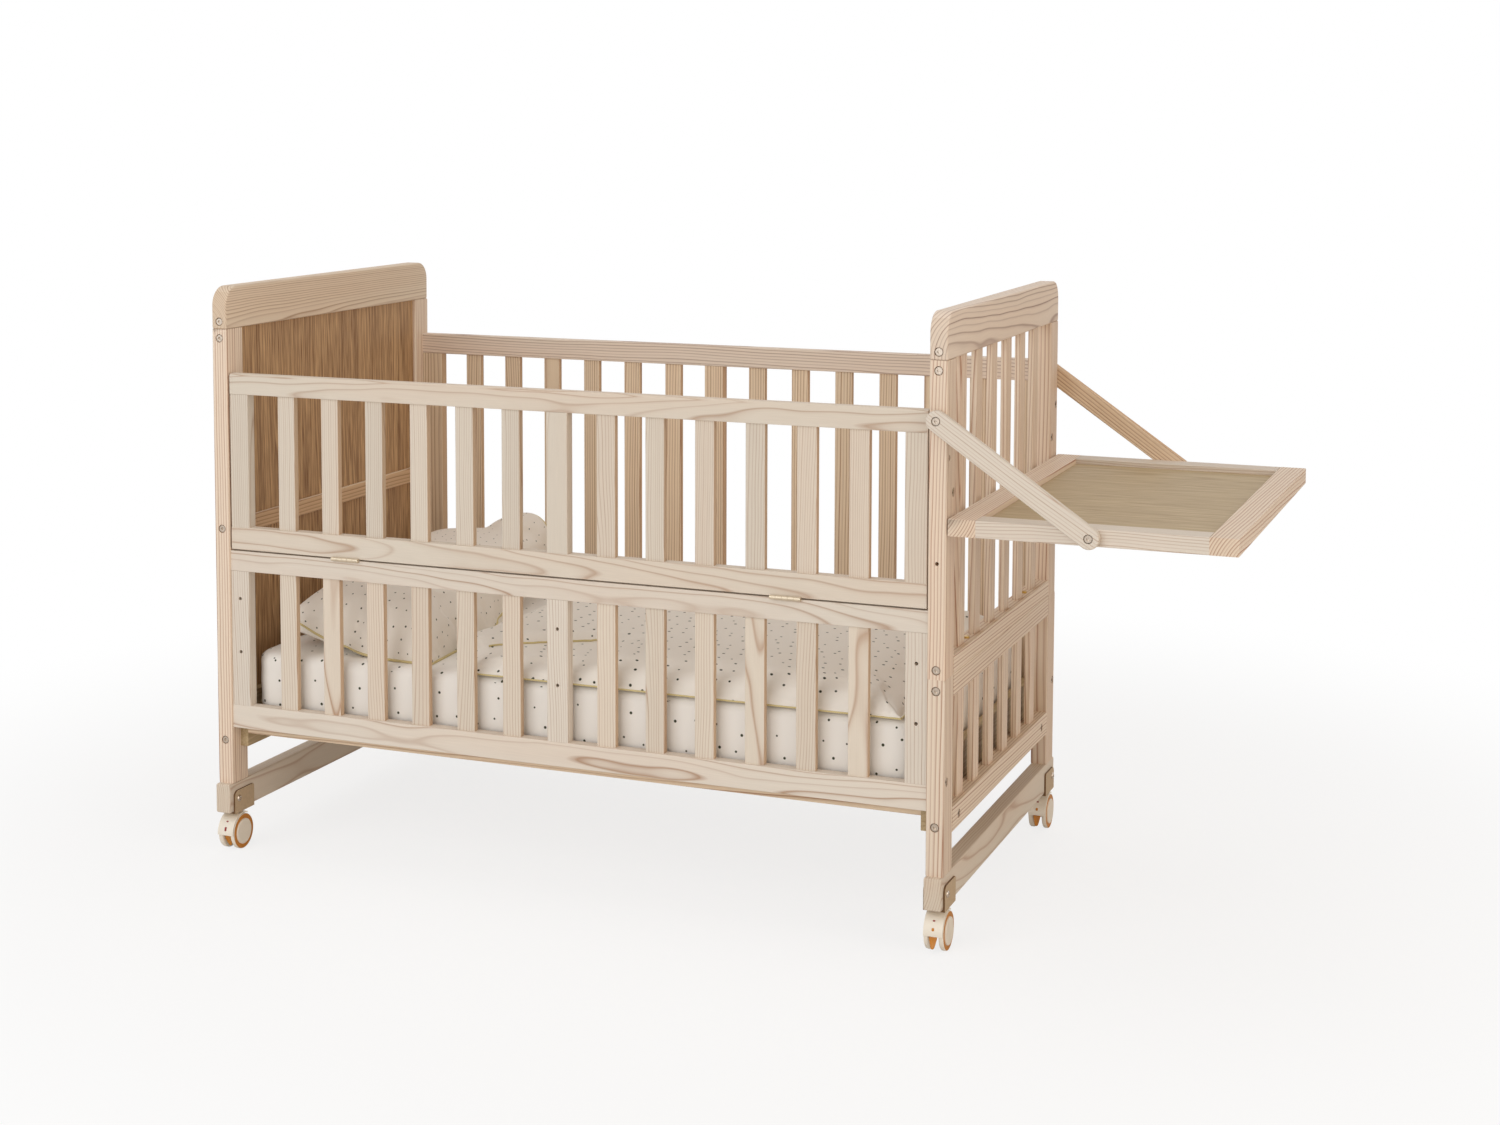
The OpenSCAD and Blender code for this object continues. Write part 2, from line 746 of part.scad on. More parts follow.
module base_side_rails() {
    x0 = end_t + base_end_t;
    x1 = foot_in - base_end_t;
    color(pine_shade) placed() for (y = [front_in + 2, back_in - 2 - base_side_t])
        bar(x0, x1, y, y + base_side_t, side_rail_z, side_rail_z + base_side_h);
}

base_slat_edge = 10;
module base_slats() {
    first = end_t + base_end_t + base_slat_edge;
    step = (foot_in - base_end_t - base_slat_edge - base_slat_w - first) / (base_slat_n - 1);
    color(pine_shade) placed() for (i = [0 : base_slat_n - 1])
        bar(first + i * step, first + i * step + base_slat_w, front_in + 3, back_in - 3,
            deck_z - base_slat_t, deck_z);
}

// ---- Bedding ----

// A closed surface from rings of equal point counts, with flat fans at both ends
module ring_solid(rings) {
    n = len(rings[0]);
    last = len(rings) - 1;
    points = [for (ring = rings) each ring];
    side_faces = [for (j = [0 : last - 1], i = [0 : n - 1]) let (k = (i + 1) % n)
        each [[j * n + i, (j + 1) * n + i, j * n + k], [(j + 1) * n + i, (j + 1) * n + k, j * n + k]]];
    polyhedron(
        points = points,
        faces = concat([[for (i = [0 : n - 1]) i]], side_faces, [[for (i = [0 : n - 1]) last * n + n - 1 - i]])
    );
}

// A closed surface from a grid: top and bottom sheets that meet along the seam
module pad_solid(nu, nv, top, bottom) {
    function id(i, j) = i * (nv + 1) + j;
    count = (nu + 1) * (nv + 1);
    function u(i) = -cos(180 * i / nu);
    function v(j) = -cos(180 * j / nv);
    function rim(i, j) = i == 0 || i == nu || j == 0 || j == nv;
    function low(i, j) = rim(i, j) ? id(i, j) : count + (i - 1) * (nv - 1) + j - 1;
    points = concat(
        [for (i = [0 : nu], j = [0 : nv]) top(u(i), v(j))],
        [for (i = [1 : nu - 1], j = [1 : nv - 1]) bottom(u(i), v(j))]
    );
    // Each cell's diagonal runs towards the nearest corner, so that no corner triangle is flat
    faces = [for (i = [0 : nu - 1], j = [0 : nv - 1])
        each (i < nu / 2) == (j < nv / 2) ? [
            [id(i, j), id(i, j + 1), id(i + 1, j + 1)], [id(i, j), id(i + 1, j + 1), id(i + 1, j)],
            [low(i, j), low(i + 1, j + 1), low(i, j + 1)], [low(i, j), low(i + 1, j), low(i + 1, j + 1)]
        ] : [
            [id(i, j), id(i, j + 1), id(i + 1, j)], [id(i + 1, j), id(i, j + 1), id(i + 1, j + 1)],
            [low(i, j), low(i + 1, j), low(i, j + 1)], [low(i + 1, j), low(i + 1, j + 1), low(i, j + 1)]
        ]
    ];
    polyhedron(points = points, faces = faces);
}

// The mattress: rounded corners and edges, a slightly crowned top and a flat underside
mattress_corner_r = 38;
mattress_arc_n = 8;
mattress_steps = 7;
mattress_crown = 3;

function round_rect(x0, x1, y0, y1, r, z) = [
    for (corner = [[x1 - r, y0 + r, -90], [x1 - r, y1 - r, 0], [x0 + r, y1 - r, 90], [x0 + r, y0 + r, 180]],
         k = [0 : mattress_arc_n])
        let (a = corner[2] + 90 * k / mattress_arc_n) [corner[0] + r * cos(a), corner[1] + r * sin(a), z]
];

function mattress_ring(inset, z) = round_rect(
    end_t + base_end_t + mattress_gap + inset, foot_in - base_end_t - mattress_gap - inset,
    front_in + mattress_gap + inset, back_in - mattress_gap - inset,
    mattress_corner_r - min(inset, mattress_corner_r - 10), z
);

module mattress() {
    r = mattress_edge_r;
    foot_r = r / 2;
    low = [for (k = [0 : 3]) let (a = 90 * k / 3) mattress_ring(foot_r * (1 - sin(a)), mattress_z + foot_r * (1 - cos(a)))];
    high = [for (k = [0 : mattress_steps]) let (a = 90 * k / mattress_steps)
        mattress_ring(r * (1 - cos(a)), bed_top - mattress_crown - r * (1 - sin(a)))];
    crown = [mattress_ring(r * 2.2, bed_top - mattress_crown / 4), mattress_ring(r * 4, bed_top)];
    color(linen) placed() ring_solid(concat(low, high, crown));
}

// A step from 0 to 1 that starts and ends level
function ease(t) = let (c = max(0, min(1, t))) c * c * (3 - 2 * c);

// The pillow: crowned, with drawn-in sides. s and t run from 0 to 1, s from the head end and
// t from the gate. Its near edge droops to the mattress, its head side leans up a little, and
// its far end stands up against the back panel, highest near its outer corner.
pillow_x0 = 96;
pillow_y0 = front_in + 34;
pillow_head_lean = 16;
pillow_far_lean = 53;
pillow_side_in = 8;
pillow_end_in = 10;
pillow_corner_up = 52;
pillow_head_up = 50;
pillow_side_up = 90;
pillow_side_from = 0.4;
pillow_ear_up = 78;
pillow_ear_at = 0.75;
pillow_under = 26;
pillow_least_lift = 20;
pillow_near_drop = 34;
pillow_inset = 0.14;

function pillow_plan(u, v) = let (
    s = (1 + u) / 2,
    t = (1 + v) / 2,
    x0 = pillow_x0 - pillow_head_lean * t + pillow_side_in * (1 - v * v),
    x1 = pillow_x0 + pillow_w - pillow_head_lean * t - (pillow_far_lean - pillow_head_lean) * pow(t, 1.5),
    y0 = pillow_y0 + pillow_end_in * (1 - s),
    y1 = pillow_y0 + pillow_l - pillow_end_in * (1 - u * u)
) [x0 + (x1 - x0) * s, y0 + (y1 - y0) * t];
function pillow_seam(u, v) = let (s = (1 + u) / 2, t = (1 + v) / 2) bedding_z + 1
    + pillow_corner_up * pow(1 - s, 4) * pow(1 - t, 2) + pillow_head_up * (1 - s) * t
    + pillow_side_up * s * pow(max(0, (t - pillow_side_from) / (1 - pillow_side_from)), 1.3)
    + pillow_ear_up * pow(t, 4) * pillow_ear(s);
// The far end's outline: it rises from the head side and falls off roundly at the outer corner
function pillow_ear(s) = ease(s / pillow_ear_at)
    * sqrt(1 - pow(max(0, (s - pillow_ear_at) / (1 - pillow_ear_at)), 2));
function pillow_puff(u, v) = pow(max(0, (1 - pow(u, 6)) * (1 - pow(v, 6))), 0.5);
function pillow_lift(u, v) = max(pillow_least_lift, bedding_z + pillow_t - pillow_near_drop * (1 - v) / 2 - pillow_seam(u, v));
function pillow_top(u, v) = concat(pillow_plan(u, v),
    pillow_seam(u, v) + pillow_lift(u, v) * pillow_puff(u, v));
function pillow_bottom(u, v) = let (p = pillow_puff(u, v))
    concat(pillow_plan(u * (1 - pillow_inset * p), v * (1 - pillow_inset * p / 3)),
        max(bedding_z + pillow_under * pow((1 - u) * (1 - v) / 4, 3), pillow_seam(u, v) - 90 * p));

module pillow() {
    color(linen) placed() pad_solid(18, 26,
        function (u, v) pillow_top(u, v), function (u, v) pillow_bottom(u, v));
}

// The quilt lies folded in two, with the fold along the gate side. Near the pillow its upper
// layer is turned back, so only the lower one reaches the gate side there. Its head edge goes
// round the pillow, and low folds cross it.
quilt_x1 = foot_in - base_end_t - mattress_gap - 28;
quilt_y0 = front_in + quilt_gap + 4;
quilt_y1 = back_in - quilt_gap - 14;
quilt_seam = 2.5;
quilt_fold = 5;
quilt_layer = 0.5;
quilt_tuck = 66;
quilt_tuck_y = 134;
// The turned-back corner: how far from the fold the upper layer's edge lies at the head side
// and at its deepest, how far along it is deepest, and where the fold starts to fill out
quilt_turn_y0 = 80;
quilt_turn_y1 = 195;
quilt_turn_l = 155;
quilt_fill_from = 147;
quilt_fill_l = 130;

function quilt_plan(u, v) = let (
    y = quilt_y0 + (quilt_y1 - quilt_y0) * (1 + v) / 2,
    x0 = quilt_x1 - quilt_l - quilt_tuck * ease((y - quilt_y0) / quilt_tuck_y)
) [x0 + (quilt_x1 - x0) * (1 + u) / 2, y];
function quilt_edge(u, v) = pow(max(0, (1 - pow(u, 16)) * (1 - pow(v, 24))), 0.5);
function quilt_height(u, v) = let (
    place = quilt_plan(u, v),
    along = place[0] - (quilt_x1 - quilt_l),
    turned = quilt_turn_y0 + (quilt_turn_y1 - quilt_turn_y0) * max(0, min(1, along / quilt_turn_l)),
    upper = quilt_layer + (1 - quilt_layer)
        * max(ease((place[1] - quilt_y0 - turned + 20) / 40), ease((along - quilt_fill_from) / quilt_fill_l))
) (quilt_t - quilt_fold) * upper + quilt_fold / 2 * (1 + sin(300 * u + 80 * v));
function quilt_top(u, v) = concat(quilt_plan(u, v),
    bedding_z + quilt_seam + (quilt_height(u, v) - quilt_seam) * quilt_edge(u, v));
function quilt_bottom(u, v) = concat(quilt_plan(u, v),
    max(bedding_z, bedding_z + quilt_seam - 2 * quilt_seam * quilt_edge(u, v)));

module quilt() {
    color(linen) placed() pad_solid(26, 22,
        function (u, v) quilt_top(u, v), function (u, v) quilt_bottom(u, v));
}

// ---- Changing tray ----

tray_y0 = 0;
tray_y1 = crib_depth;

// The end rails run the tray's whole width, and the side rails lie between them
module tray_end_rails() {
    color(pine) placed() difference() {
        for (x = [tray_x, tray_x + tray_len - tray_frame_w])
            bar(x, x + tray_frame_w, tray_y0, tray_y1, tray_bottom, tray_z);
        tray_bolt_places() bolt_hole(tray_bolt_l);
    }
}

module tray_side_rails() {
    x0 = tray_x + tray_frame_w;
    x1 = tray_x + tray_len - tray_frame_w;
    color(pine) placed() difference() {
        for (y = [tray_y0, tray_y1 - tray_frame_w])
            bar(x0, x1, y, y + tray_frame_w, tray_bottom, tray_z);
        strut_bolt_holes(strut_foot);
    }
}

module tray_panel() {
    z1 = tray_z - tray_panel_recess;
    color(tray_ply) placed()
        bar(tray_x + tray_frame_w, tray_x + tray_len - tray_frame_w,
            tray_y0 + tray_frame_w, tray_y1 - tray_frame_w, z1 - tray_panel_t, z1);
}

module tray_bolts() { color(steel) placed() tray_bolt_places() socket_bolt(tray_bolt_l); }

// A spacer on each bolt keeps the tray off the posts
spacer_r = 8;
module tray_spacers() {
    color(steel) placed() for (y = [tray_bolt_y, crib_depth - tray_bolt_y]) difference() {
        rod_x(crib_len, tray_x, y, tray_mid_z, spacer_r);
        rod_x(crib_len - 1, tray_x + 1, y, tray_mid_z, bolt_r + run_fit);
    }
}

// ---- Struts ----

// A round-ended bar with a counterbored hole at each end: side is 1 at the back, -1 at the front
module strut(side) {
    y0 = side > 0 ? crib_depth : -strut_t;
    bore_y0 = side > 0 ? y0 + strut_t - counterbore_d : y0 - eps;
    color(pine) placed() difference() {
        translate([strut_top[0], y0 + strut_t, strut_top[1]]) rotate([90, strut_slope, 0])
            linear_extrude(strut_t) {
                translate([0, -strut_w / 2]) square([strut_l, strut_w]);
                circle(d = strut_w);
                translate([strut_l, 0]) circle(d = strut_w);
            }
        for (p = [strut_top, strut_foot]) {
            rod_y(p[0], y0 - eps, y0 + strut_t + eps, p[1], strut_bolt_r + run_fit);
            rod_y(p[0], bore_y0, bore_y0 + counterbore_d + eps, p[1], counterbore_r);
        }
    }
}

module strut_front() { strut(-1); }

module strut_back() { strut(1); }

module strut_bolts() {
    seat = strut_t - counterbore_d;
    color(steel) placed() for (p = [strut_top, strut_foot]) {
        translate([p[0], -seat, p[1]]) rotate([-90, 0, 0]) socket_bolt(seat + strut_bolt_in, strut_bolt_r);
        translate([p[0], crib_depth + seat, p[1]]) rotate([90, 0, 0])
            socket_bolt(seat + strut_bolt_in, strut_bolt_r);
    }
}

// ---- Runners and castors ----

module runner(x0) {
    bar(x0, x0 + end_t, -runner_overhang, crib_depth + runner_overhang, runner_z, post_z);
}

module runner_drilled(x0) {
    difference() {
        runner(x0);
        for (y = [bracket_bolt_y, crib_depth - bracket_bolt_y])
            rod_x(x0 - eps, x0 + end_t + eps, y, bracket_bolt_z, bracket_bolt_r + run_fit);
    }
}

module head_runner() { color(pine) placed() runner_drilled(0); }

module foot_runner() { color(pine) placed() runner_drilled(foot_in); }

// The brackets' places, with +Y towards the middle of the runner
module bracket_places() {
    for (x = [castor_head_x, castor_foot_x]) {
        translate([x, castor_front_y, 0]) children();
        translate([x, castor_back_y, 0]) mirror([0, 1, 0]) children();
    }
}

bracket_outer_r = 10;
bracket_inner_r = 4;

// One side of a bracket, with its upper corners rounded
module bracket_side(x0) {
    outer_h = bracket_h - bracket_outer_r;
    inner_h = bracket_h - bracket_inner_r;
    translate([x0, -castor_stem_in, castor_h]) rotate([90, 0, 90]) linear_extrude(bracket_t) {
        square([bracket_l, outer_h]);
        translate([bracket_outer_r, 0]) square([bracket_l - bracket_outer_r, inner_h]);
        translate([bracket_outer_r, 0]) square([bracket_l - bracket_outer_r - bracket_inner_r, bracket_h]);
        translate([bracket_outer_r, outer_h]) circle(r = bracket_outer_r);
        translate([bracket_l - bracket_inner_r, inner_h]) circle(r = bracket_inner_r);
    }
}

stem_l = 24;

// A folded steel bracket round the runner, with the castor's stem riveted in it
module castor_brackets() {
    bolt_y = bracket_bolt_in - castor_stem_in;
    color(bronze) placed() bracket_places() difference() {
        union() {
            bracket_side(-end_t / 2 - bracket_t);
            bracket_side(end_t / 2);
            translate([-end_t / 2 - bracket_t, -castor_stem_in, castor_h])
                cube([end_t + 2 * bracket_t, bracket_l, bracket_t]);
            translate([0, 0, castor_h - stem_l]) cylinder(h = stem_l + 1, r = stem_r);
        }
        rod_x(-end_t, end_t, bolt_y, bracket_bolt_z, bracket_bolt_r + run_fit);
    }
}

// A bolt and its sleeve nut through each bracket and runner: a domed head on either side
module bracket_bolts() {
    out = end_t / 2 + bracket_t;
    rim_h = bracket_head_h / 3;
    color(steel) placed() bracket_places()
        translate([0, bracket_bolt_in - castor_stem_in, bracket_bolt_z]) {
            rod_x(-out - rim_h, out + rim_h, 0, 0, bracket_bolt_r);
            for (side = [-1, 1]) rotate([0, 90 * side, 0]) translate([0, 0, out]) difference() {
                union() {
                    cylinder(h = rim_h, r = bracket_head_r);
                    translate([0, 0, rim_h])
                        cylinder(h = bracket_head_h - rim_h, r1 = bracket_head_r, r2 = bracket_head_r - 2.2);
                }
                translate([0, 0, rim_h]) cylinder(h = bracket_head_h, r = 2.2, $fn = 6);
            }
        }
}

// Castor pieces stand in their own axes: the swivel axis is Z and the wheels trail towards +Y
hood_front_z = 29.6;
hood_back_y = 13;
boss_r = stem_r + 2.6;
pedal_y = castor_trail - hood_r + 11.6;
pedal_z = axle_z + 4;
pedal_pin_r = 1.5;
pedal_w = 9;
tongue_w = wheel_gap - 1.6;
tongue_t = 2.8;
tongue_l = 18;
tongue_tilt = 15;
pedal_travel = 40;

module axle_frame() {
    translate([0, castor_trail, axle_z]) children();
}

// A cover over the front of both wheels, with a web between them that carries the axle and the stem
module castor_hood() {
    shell_w = castor_w - 2 * cap_t - 1;
    difference() {
        union() {
            difference() {
                axle_frame() rod_x(-shell_w / 2, shell_w / 2, 0, 0, hood_r);
                for (x = [-shell_w - web_w / 2, web_w / 2])
                    axle_frame() rod_x(x, x + shell_w, 0, 0, hood_r - hood_wall);
                translate([-shell_w, castor_trail - 2 * hood_r, -hood_r])
                    cube([2 * shell_w, 4 * hood_r, hood_r + hood_front_z]);
                translate([-shell_w, castor_trail + hood_back_y, 0])
                    cube([2 * shell_w, hood_r, 3 * hood_r]);
            }
            axle_frame() rod_x(-web_w / 2, web_w / 2, 0, 0, 12);
            translate([0, 0, 36]) cylinder(h = castor_h - 36 - move_gap, r = boss_r);
        }
        translate([0, 0, castor_h - stem_l - 1]) cylinder(h = stem_l + 2, r = stem_r + run_fit);
        axle_frame() rod_x(-web_w, web_w, 0, 0, axle_r + run_fit);
        pedal_room();
        rod_x(-web_w, web_w, pedal_y, pedal_z, pedal_pin_r + run_fit);
    }
}

// The slot in the web for the brake pedal, behind the hood's front wall
module pedal_room() {
    y0 = castor_trail - hood_r + hood_wall;
    translate([-pedal_w / 2 - move_gap, y0, 0]) cube([pedal_w + 2 * move_gap, pedal_y + 6 - y0, pedal_z + 6]);
}

// A ring-shaped rim and a round cap close each wheel's outer face
module castor_wheels() {
    w0 = wheel_gap / 2;
    w1 = castor_w / 2 - cap_t;
    axle_frame() for (side = [-1, 1]) rotate([0, 90 * side, 0]) difference() {
        union() {
            translate([0, 0, w0]) cylinder(h = w1 - w0, r = wheel_d / 2);
            translate([0, 0, w1 - eps]) cylinder(h = cap_t + eps, r = wheel_d / 2 - 6);
        }
        translate([0, 0, w0 - eps]) cylinder(h = w1 - w0 - 1, r = axle_r + 0.02);
    }
    axle_frame() rod_x(-w1 + 1.5, w1 - 1.5, 0, 0, axle_r);
}

// The brake pedal: an arm on a pin through the web, and a tapered tongue below the hood's front.
// Pressed, it is turned in between the wheels by so many degrees.
module castor_pedal(pressed = 0) {
    half = tongue_w / 2;
    translate([0, pedal_y, pedal_z]) rotate([pressed, 0, 0]) {
        rod_x(-pedal_w / 2, pedal_w / 2, 0, 0, 4);
        rod_x(-web_w / 2 + 0.3, web_w / 2 - 0.3, 0, 0, pedal_pin_r);
        translate([-pedal_w / 2, 0, 0]) rotate([90, 0, 90]) linear_extrude(pedal_w)
            polygon([[0, 4], [-3, 2.6], [-8.4, -3.5], [-8.4, -8], [-5.4, -8], [0, -4]]);
        translate([0, -6.6, -5.8]) rotate([90 - tongue_tilt, 0, 0]) linear_extrude(tongue_t)
            polygon([[-half, 0], [half, 0], [half - 0.8, -3], [3.4, 2.6 - tongue_l], [1.6, -tongue_l],
                     [-1.6, -tongue_l], [-3.4, 2.6 - tongue_l], [0.8 - half, -3]]);
    }
}

module castor_at(x, y) { placed() translate([x, y, 0]) children(); }

module castor_hood_lf() { color(cream) castor_at(castor_head_x, castor_front_y) castor_hood(); }
module castor_wheels_lf() { color(cream) castor_at(castor_head_x, castor_front_y) castor_wheels(); }
module castor_pedal_lf() { color(orange) castor_at(castor_head_x, castor_front_y) castor_pedal(pedal_travel); }
module castor_hood_lb() { color(cream) castor_at(castor_head_x, castor_back_y) castor_hood(); }
module castor_wheels_lb() { color(cream) castor_at(castor_head_x, castor_back_y) castor_wheels(); }
module castor_pedal_lb() { color(orange) castor_at(castor_head_x, castor_back_y) castor_pedal(); }
module castor_hood_rf() { color(cream) castor_at(castor_foot_x, castor_front_y) castor_hood(); }
module castor_wheels_rf() { color(cream) castor_at(castor_foot_x, castor_front_y) castor_wheels(); }
module castor_pedal_rf() { color(orange) castor_at(castor_foot_x, castor_front_y) castor_pedal(); }
module castor_hood_rb() { color(cream) castor_at(castor_foot_x, castor_back_y) castor_hood(); }
module castor_wheels_rb() { color(cream) castor_at(castor_foot_x, castor_back_y) castor_wheels(); }
module castor_pedal_rb() { color(orange) castor_at(castor_foot_x, castor_back_y) castor_pedal(); }

head_top_rail();
head_stiles();
head_mid_rail();
head_bottom_rail();
head_panels();
head_runner();
foot_top_rail();
foot_upper_stiles();
foot_upper_bottom_rail();
foot_upper_slats();
foot_lower_top_rail();
foot_lower_stiles();
foot_lower_bottom_rail();
foot_lower_slats();
foot_runner();
front_rails();
front_stiles();
front_slats();
gate_rails();
gate_stiles();
gate_slats();
back_rails();
back_stiles();
back_slats();
gate_hinge_fixed_leaves();
gate_hinge_moving_leaves();
gate_latch_left();
gate_latch_right();
base_end_boards();
base_side_rails();
base_slats();
mattress();
pillow();
quilt();
tray_end_rails();
tray_side_rails();
tray_panel();
tray_bolts();
tray_spacers();
strut_front();
strut_back();
strut_bolts();
frame_bolts();
section_screws();
castor_brackets();
bracket_bolts();
castor_hood_lf();
castor_wheels_lf();
castor_pedal_lf();
castor_hood_lb();
castor_wheels_lb();
castor_pedal_lb();
castor_hood_rf();
castor_wheels_rf();
castor_pedal_rf();
castor_hood_rb();
castor_wheels_rb();
castor_pedal_rb();
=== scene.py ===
# %% [markdown]
# # A pine crib with a changer shelf
# The crib is knock-down furniture: two ends, a fixed front, a gate that folds down, a slatted
# back and a bed base, bolted together, and a shelf on two struts at its foot end. The packed
# model gives every piece its size and place. This lesson gives the boards their rounded edges
# and their grain, and then makes the metal, the castors and the bedding.

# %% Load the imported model
import math
import random

import bmesh
import bpy
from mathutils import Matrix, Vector, noise


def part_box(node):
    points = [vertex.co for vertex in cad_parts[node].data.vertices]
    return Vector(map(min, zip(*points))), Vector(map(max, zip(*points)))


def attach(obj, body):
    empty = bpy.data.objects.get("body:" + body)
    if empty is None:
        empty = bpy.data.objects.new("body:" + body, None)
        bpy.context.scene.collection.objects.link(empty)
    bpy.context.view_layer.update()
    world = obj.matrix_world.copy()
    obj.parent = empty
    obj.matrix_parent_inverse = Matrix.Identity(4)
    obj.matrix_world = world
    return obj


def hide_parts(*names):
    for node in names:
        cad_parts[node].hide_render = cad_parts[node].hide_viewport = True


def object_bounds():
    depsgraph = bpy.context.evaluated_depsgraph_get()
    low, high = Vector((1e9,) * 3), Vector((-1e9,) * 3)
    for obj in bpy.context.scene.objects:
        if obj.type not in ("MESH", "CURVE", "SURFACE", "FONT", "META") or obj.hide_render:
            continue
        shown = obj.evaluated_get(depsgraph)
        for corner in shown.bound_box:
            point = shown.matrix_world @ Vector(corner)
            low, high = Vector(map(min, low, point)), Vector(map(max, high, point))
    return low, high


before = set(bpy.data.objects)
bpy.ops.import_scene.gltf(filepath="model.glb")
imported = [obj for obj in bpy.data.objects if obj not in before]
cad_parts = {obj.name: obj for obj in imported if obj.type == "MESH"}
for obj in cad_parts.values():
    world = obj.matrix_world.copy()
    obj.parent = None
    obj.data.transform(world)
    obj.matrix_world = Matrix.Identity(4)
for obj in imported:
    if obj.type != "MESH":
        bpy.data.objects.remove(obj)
cad_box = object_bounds()
MM = 0.001
print("CAD box:", [[round(c, 4) for c in corner] for corner in cad_box])

# %% [markdown]
# ## Camera
# The photograph was taken from in front of the foot end, a little above the top rail. Its
# verticals stay nearly parallel, so the camera doesn't tilt all the way: it looks a few degrees
# down and shifts its frame. Its place was matched to the posts' corners by least squares.

# %% Camera
CAMERA_PLACE = (1.35833, -3.61386, 1.26747)
CAMERA_DOWN, CAMERA_LEFT = 4.534, 22.767  # degrees
LENS, SHIFT_X, SHIFT_Y = 55.32, 0.0528, -0.1804


def put(name, data):
    """Puts an object with this data in the scene."""
    thing = bpy.data.objects.new(name, data)
    bpy.context.collection.objects.link(thing)
    return thing


camera_data = bpy.data.cameras.new("camera")
camera_data.lens, camera_data.sensor_width = LENS, 36
camera_data.shift_x, camera_data.shift_y = SHIFT_X, SHIFT_Y
camera = put("camera", camera_data)
camera.location = CAMERA_PLACE
camera.rotation_euler = (math.radians(90 - CAMERA_DOWN), 0, math.radians(CAMERA_LEFT))
bpy.context.scene.camera = camera
print("camera", CAMERA_PLACE, "lens", LENS)

# %% [markdown]
# ## Two small helpers
# Colours are easiest to read as sRGB hex, but a shader works in linear light, so one function
# turns them over. A material is a tree of nodes, and one function adds a node, with its own
# settings and its inputs linked or filled.

# %% Colour and node helpers
def rgb(code):
    """An sRGB hex colour as a linear RGBA tuple."""
    parts = [int(code[i:i + 2], 16) / 255 for i in (1, 3, 5)]
    return tuple(c / 12.92 if c <= 0.04045 else ((c + 0.055) / 1.055) ** 2.4 for c in parts) + (1,)


def node_adder(tree):
    """Empties a node tree, and returns the function that adds a node to it."""
    def add(kind, *values, **settings):
        """Values fill the inputs in order, or by name from a dict. A node means its first output. A
        MapRange takes a value, its own range and the range that it is spread to."""
        node = tree.nodes.new("ShaderNode" + kind)
        for name, value in settings.items():
            setattr(node, name, value)
        named = values and isinstance(values[0], dict)
        for name, value in (values[0] if named else dict(enumerate(values))).items():
            if isinstance(value, bpy.types.Node):
                value = value.outputs[0]
            if isinstance(value, bpy.types.NodeSocket):
                tree.links.new(value, node.inputs[name])
            else:
                node.inputs[name].default_value = value
        return node
    tree.nodes.clear()
    return add


def new_material(name):
    """An empty material, and the function that adds nodes to it."""
    material = bpy.data.materials.new(name)
    material.use_nodes = True
    return material, node_adder(material.node_tree)


def surface(add, **inputs):
    """Ends a material with a Principled shader. Its inputs are named with _ for a space."""
    shader = add("BsdfPrincipled", {name.replace("_", " "): v for name, v in inputs.items()})
    add("OutputMaterial", {"Surface": shader})


print("colour check:", [round(c, 3) for c in rgb("#808080")])

# %% [markdown]
# ## Studio
# A white sweep with soft light. More light would whiten the background, but it would wash out the
# object's colours too. So the world is white only for rays from the camera, from a mirror-like
# bounce or through glass, and a plain room light for the rest. The floor is a pale disc that
# keeps the shadow near the object and fades to white further out.

# %% World
ROOM_LIGHT = 0.43
world = bpy.data.worlds.new("studio")
bpy.context.scene.world = world
world.use_nodes = True
add = node_adder(world.node_tree)
seen = add("LightPath")
direct = add("Math", seen.outputs["Is Camera Ray"], seen.outputs["Is Glossy Ray"],
             operation="MAXIMUM")
direct = add("Math", direct, seen.outputs["Is Transmission Ray"], operation="MAXIMUM")
room = add("Background", {"Color": (1.0, 0.93, 0.86, 1), "Strength": ROOM_LIGHT})
white = add("Background", {"Color": rgb("#FFFFFF"), "Strength": 1.0})
sky = add("MixShader", direct, room, white)
add("OutputWorld", {"Surface": sky})
bpy.context.scene.view_settings.view_transform = "Standard"
print("world: room light", ROOM_LIGHT, "and background 1.0")

# %% Floor
FLOOR_R, SHADOW_FROM, SHADOW_TO = 14.0, 0.9, 2.2  # metres from the middle
NEAR_GLOW = 0.78

material, add = new_material("studio_floor")
place = add("NewGeometry")
away = add("VectorMath", place.outputs["Position"], operation="LENGTH")
fade = add("MapRange", away.outputs["Value"], SHADOW_FROM, SHADOW_TO, interpolation_type="SMOOTHSTEP")
seen = add("LightPath")
lift = add("MapRange", fade, 0, 1, NEAR_GLOW, 1.0)
direct = add("Math", seen.outputs["Is Camera Ray"], lift, operation="MULTIPLY")
paper = add("BsdfDiffuse", {"Color": rgb("#F7F7F7")})
glow = add("Emission", {"Color": rgb("#FFFFFF"), "Strength": 1.0})
mixed = add("MixShader", direct, paper, glow)
add("OutputMaterial", {"Surface": mixed})

mesh = bpy.data.meshes.new("studio_floor")
bm = bmesh.new()
bmesh.ops.create_circle(bm, cap_ends=True, radius=FLOOR_R, segments=96)
bm.to_mesh(mesh)
bm.free()
mesh.materials.append(material)
floor = put("studio_floor", mesh)
floor.location.z = cad_box[0].z - 0.2 * MM
print("floor radius", FLOOR_R)

# %% Lamps
def lamp(name, place, aim, size, power, colour):
    """A square soft box that looks from place at aim."""
    data = bpy.data.lights.new(name, "AREA")
    data.shape, data.size, data.energy, data.color = "SQUARE", size, power, colour
    box = put(name, data)
    box.location = place
    box.rotation_euler = (Vector(aim) - Vector(place)).to_track_quat("-Z", "Y").to_euler()
    box.visible_camera = False


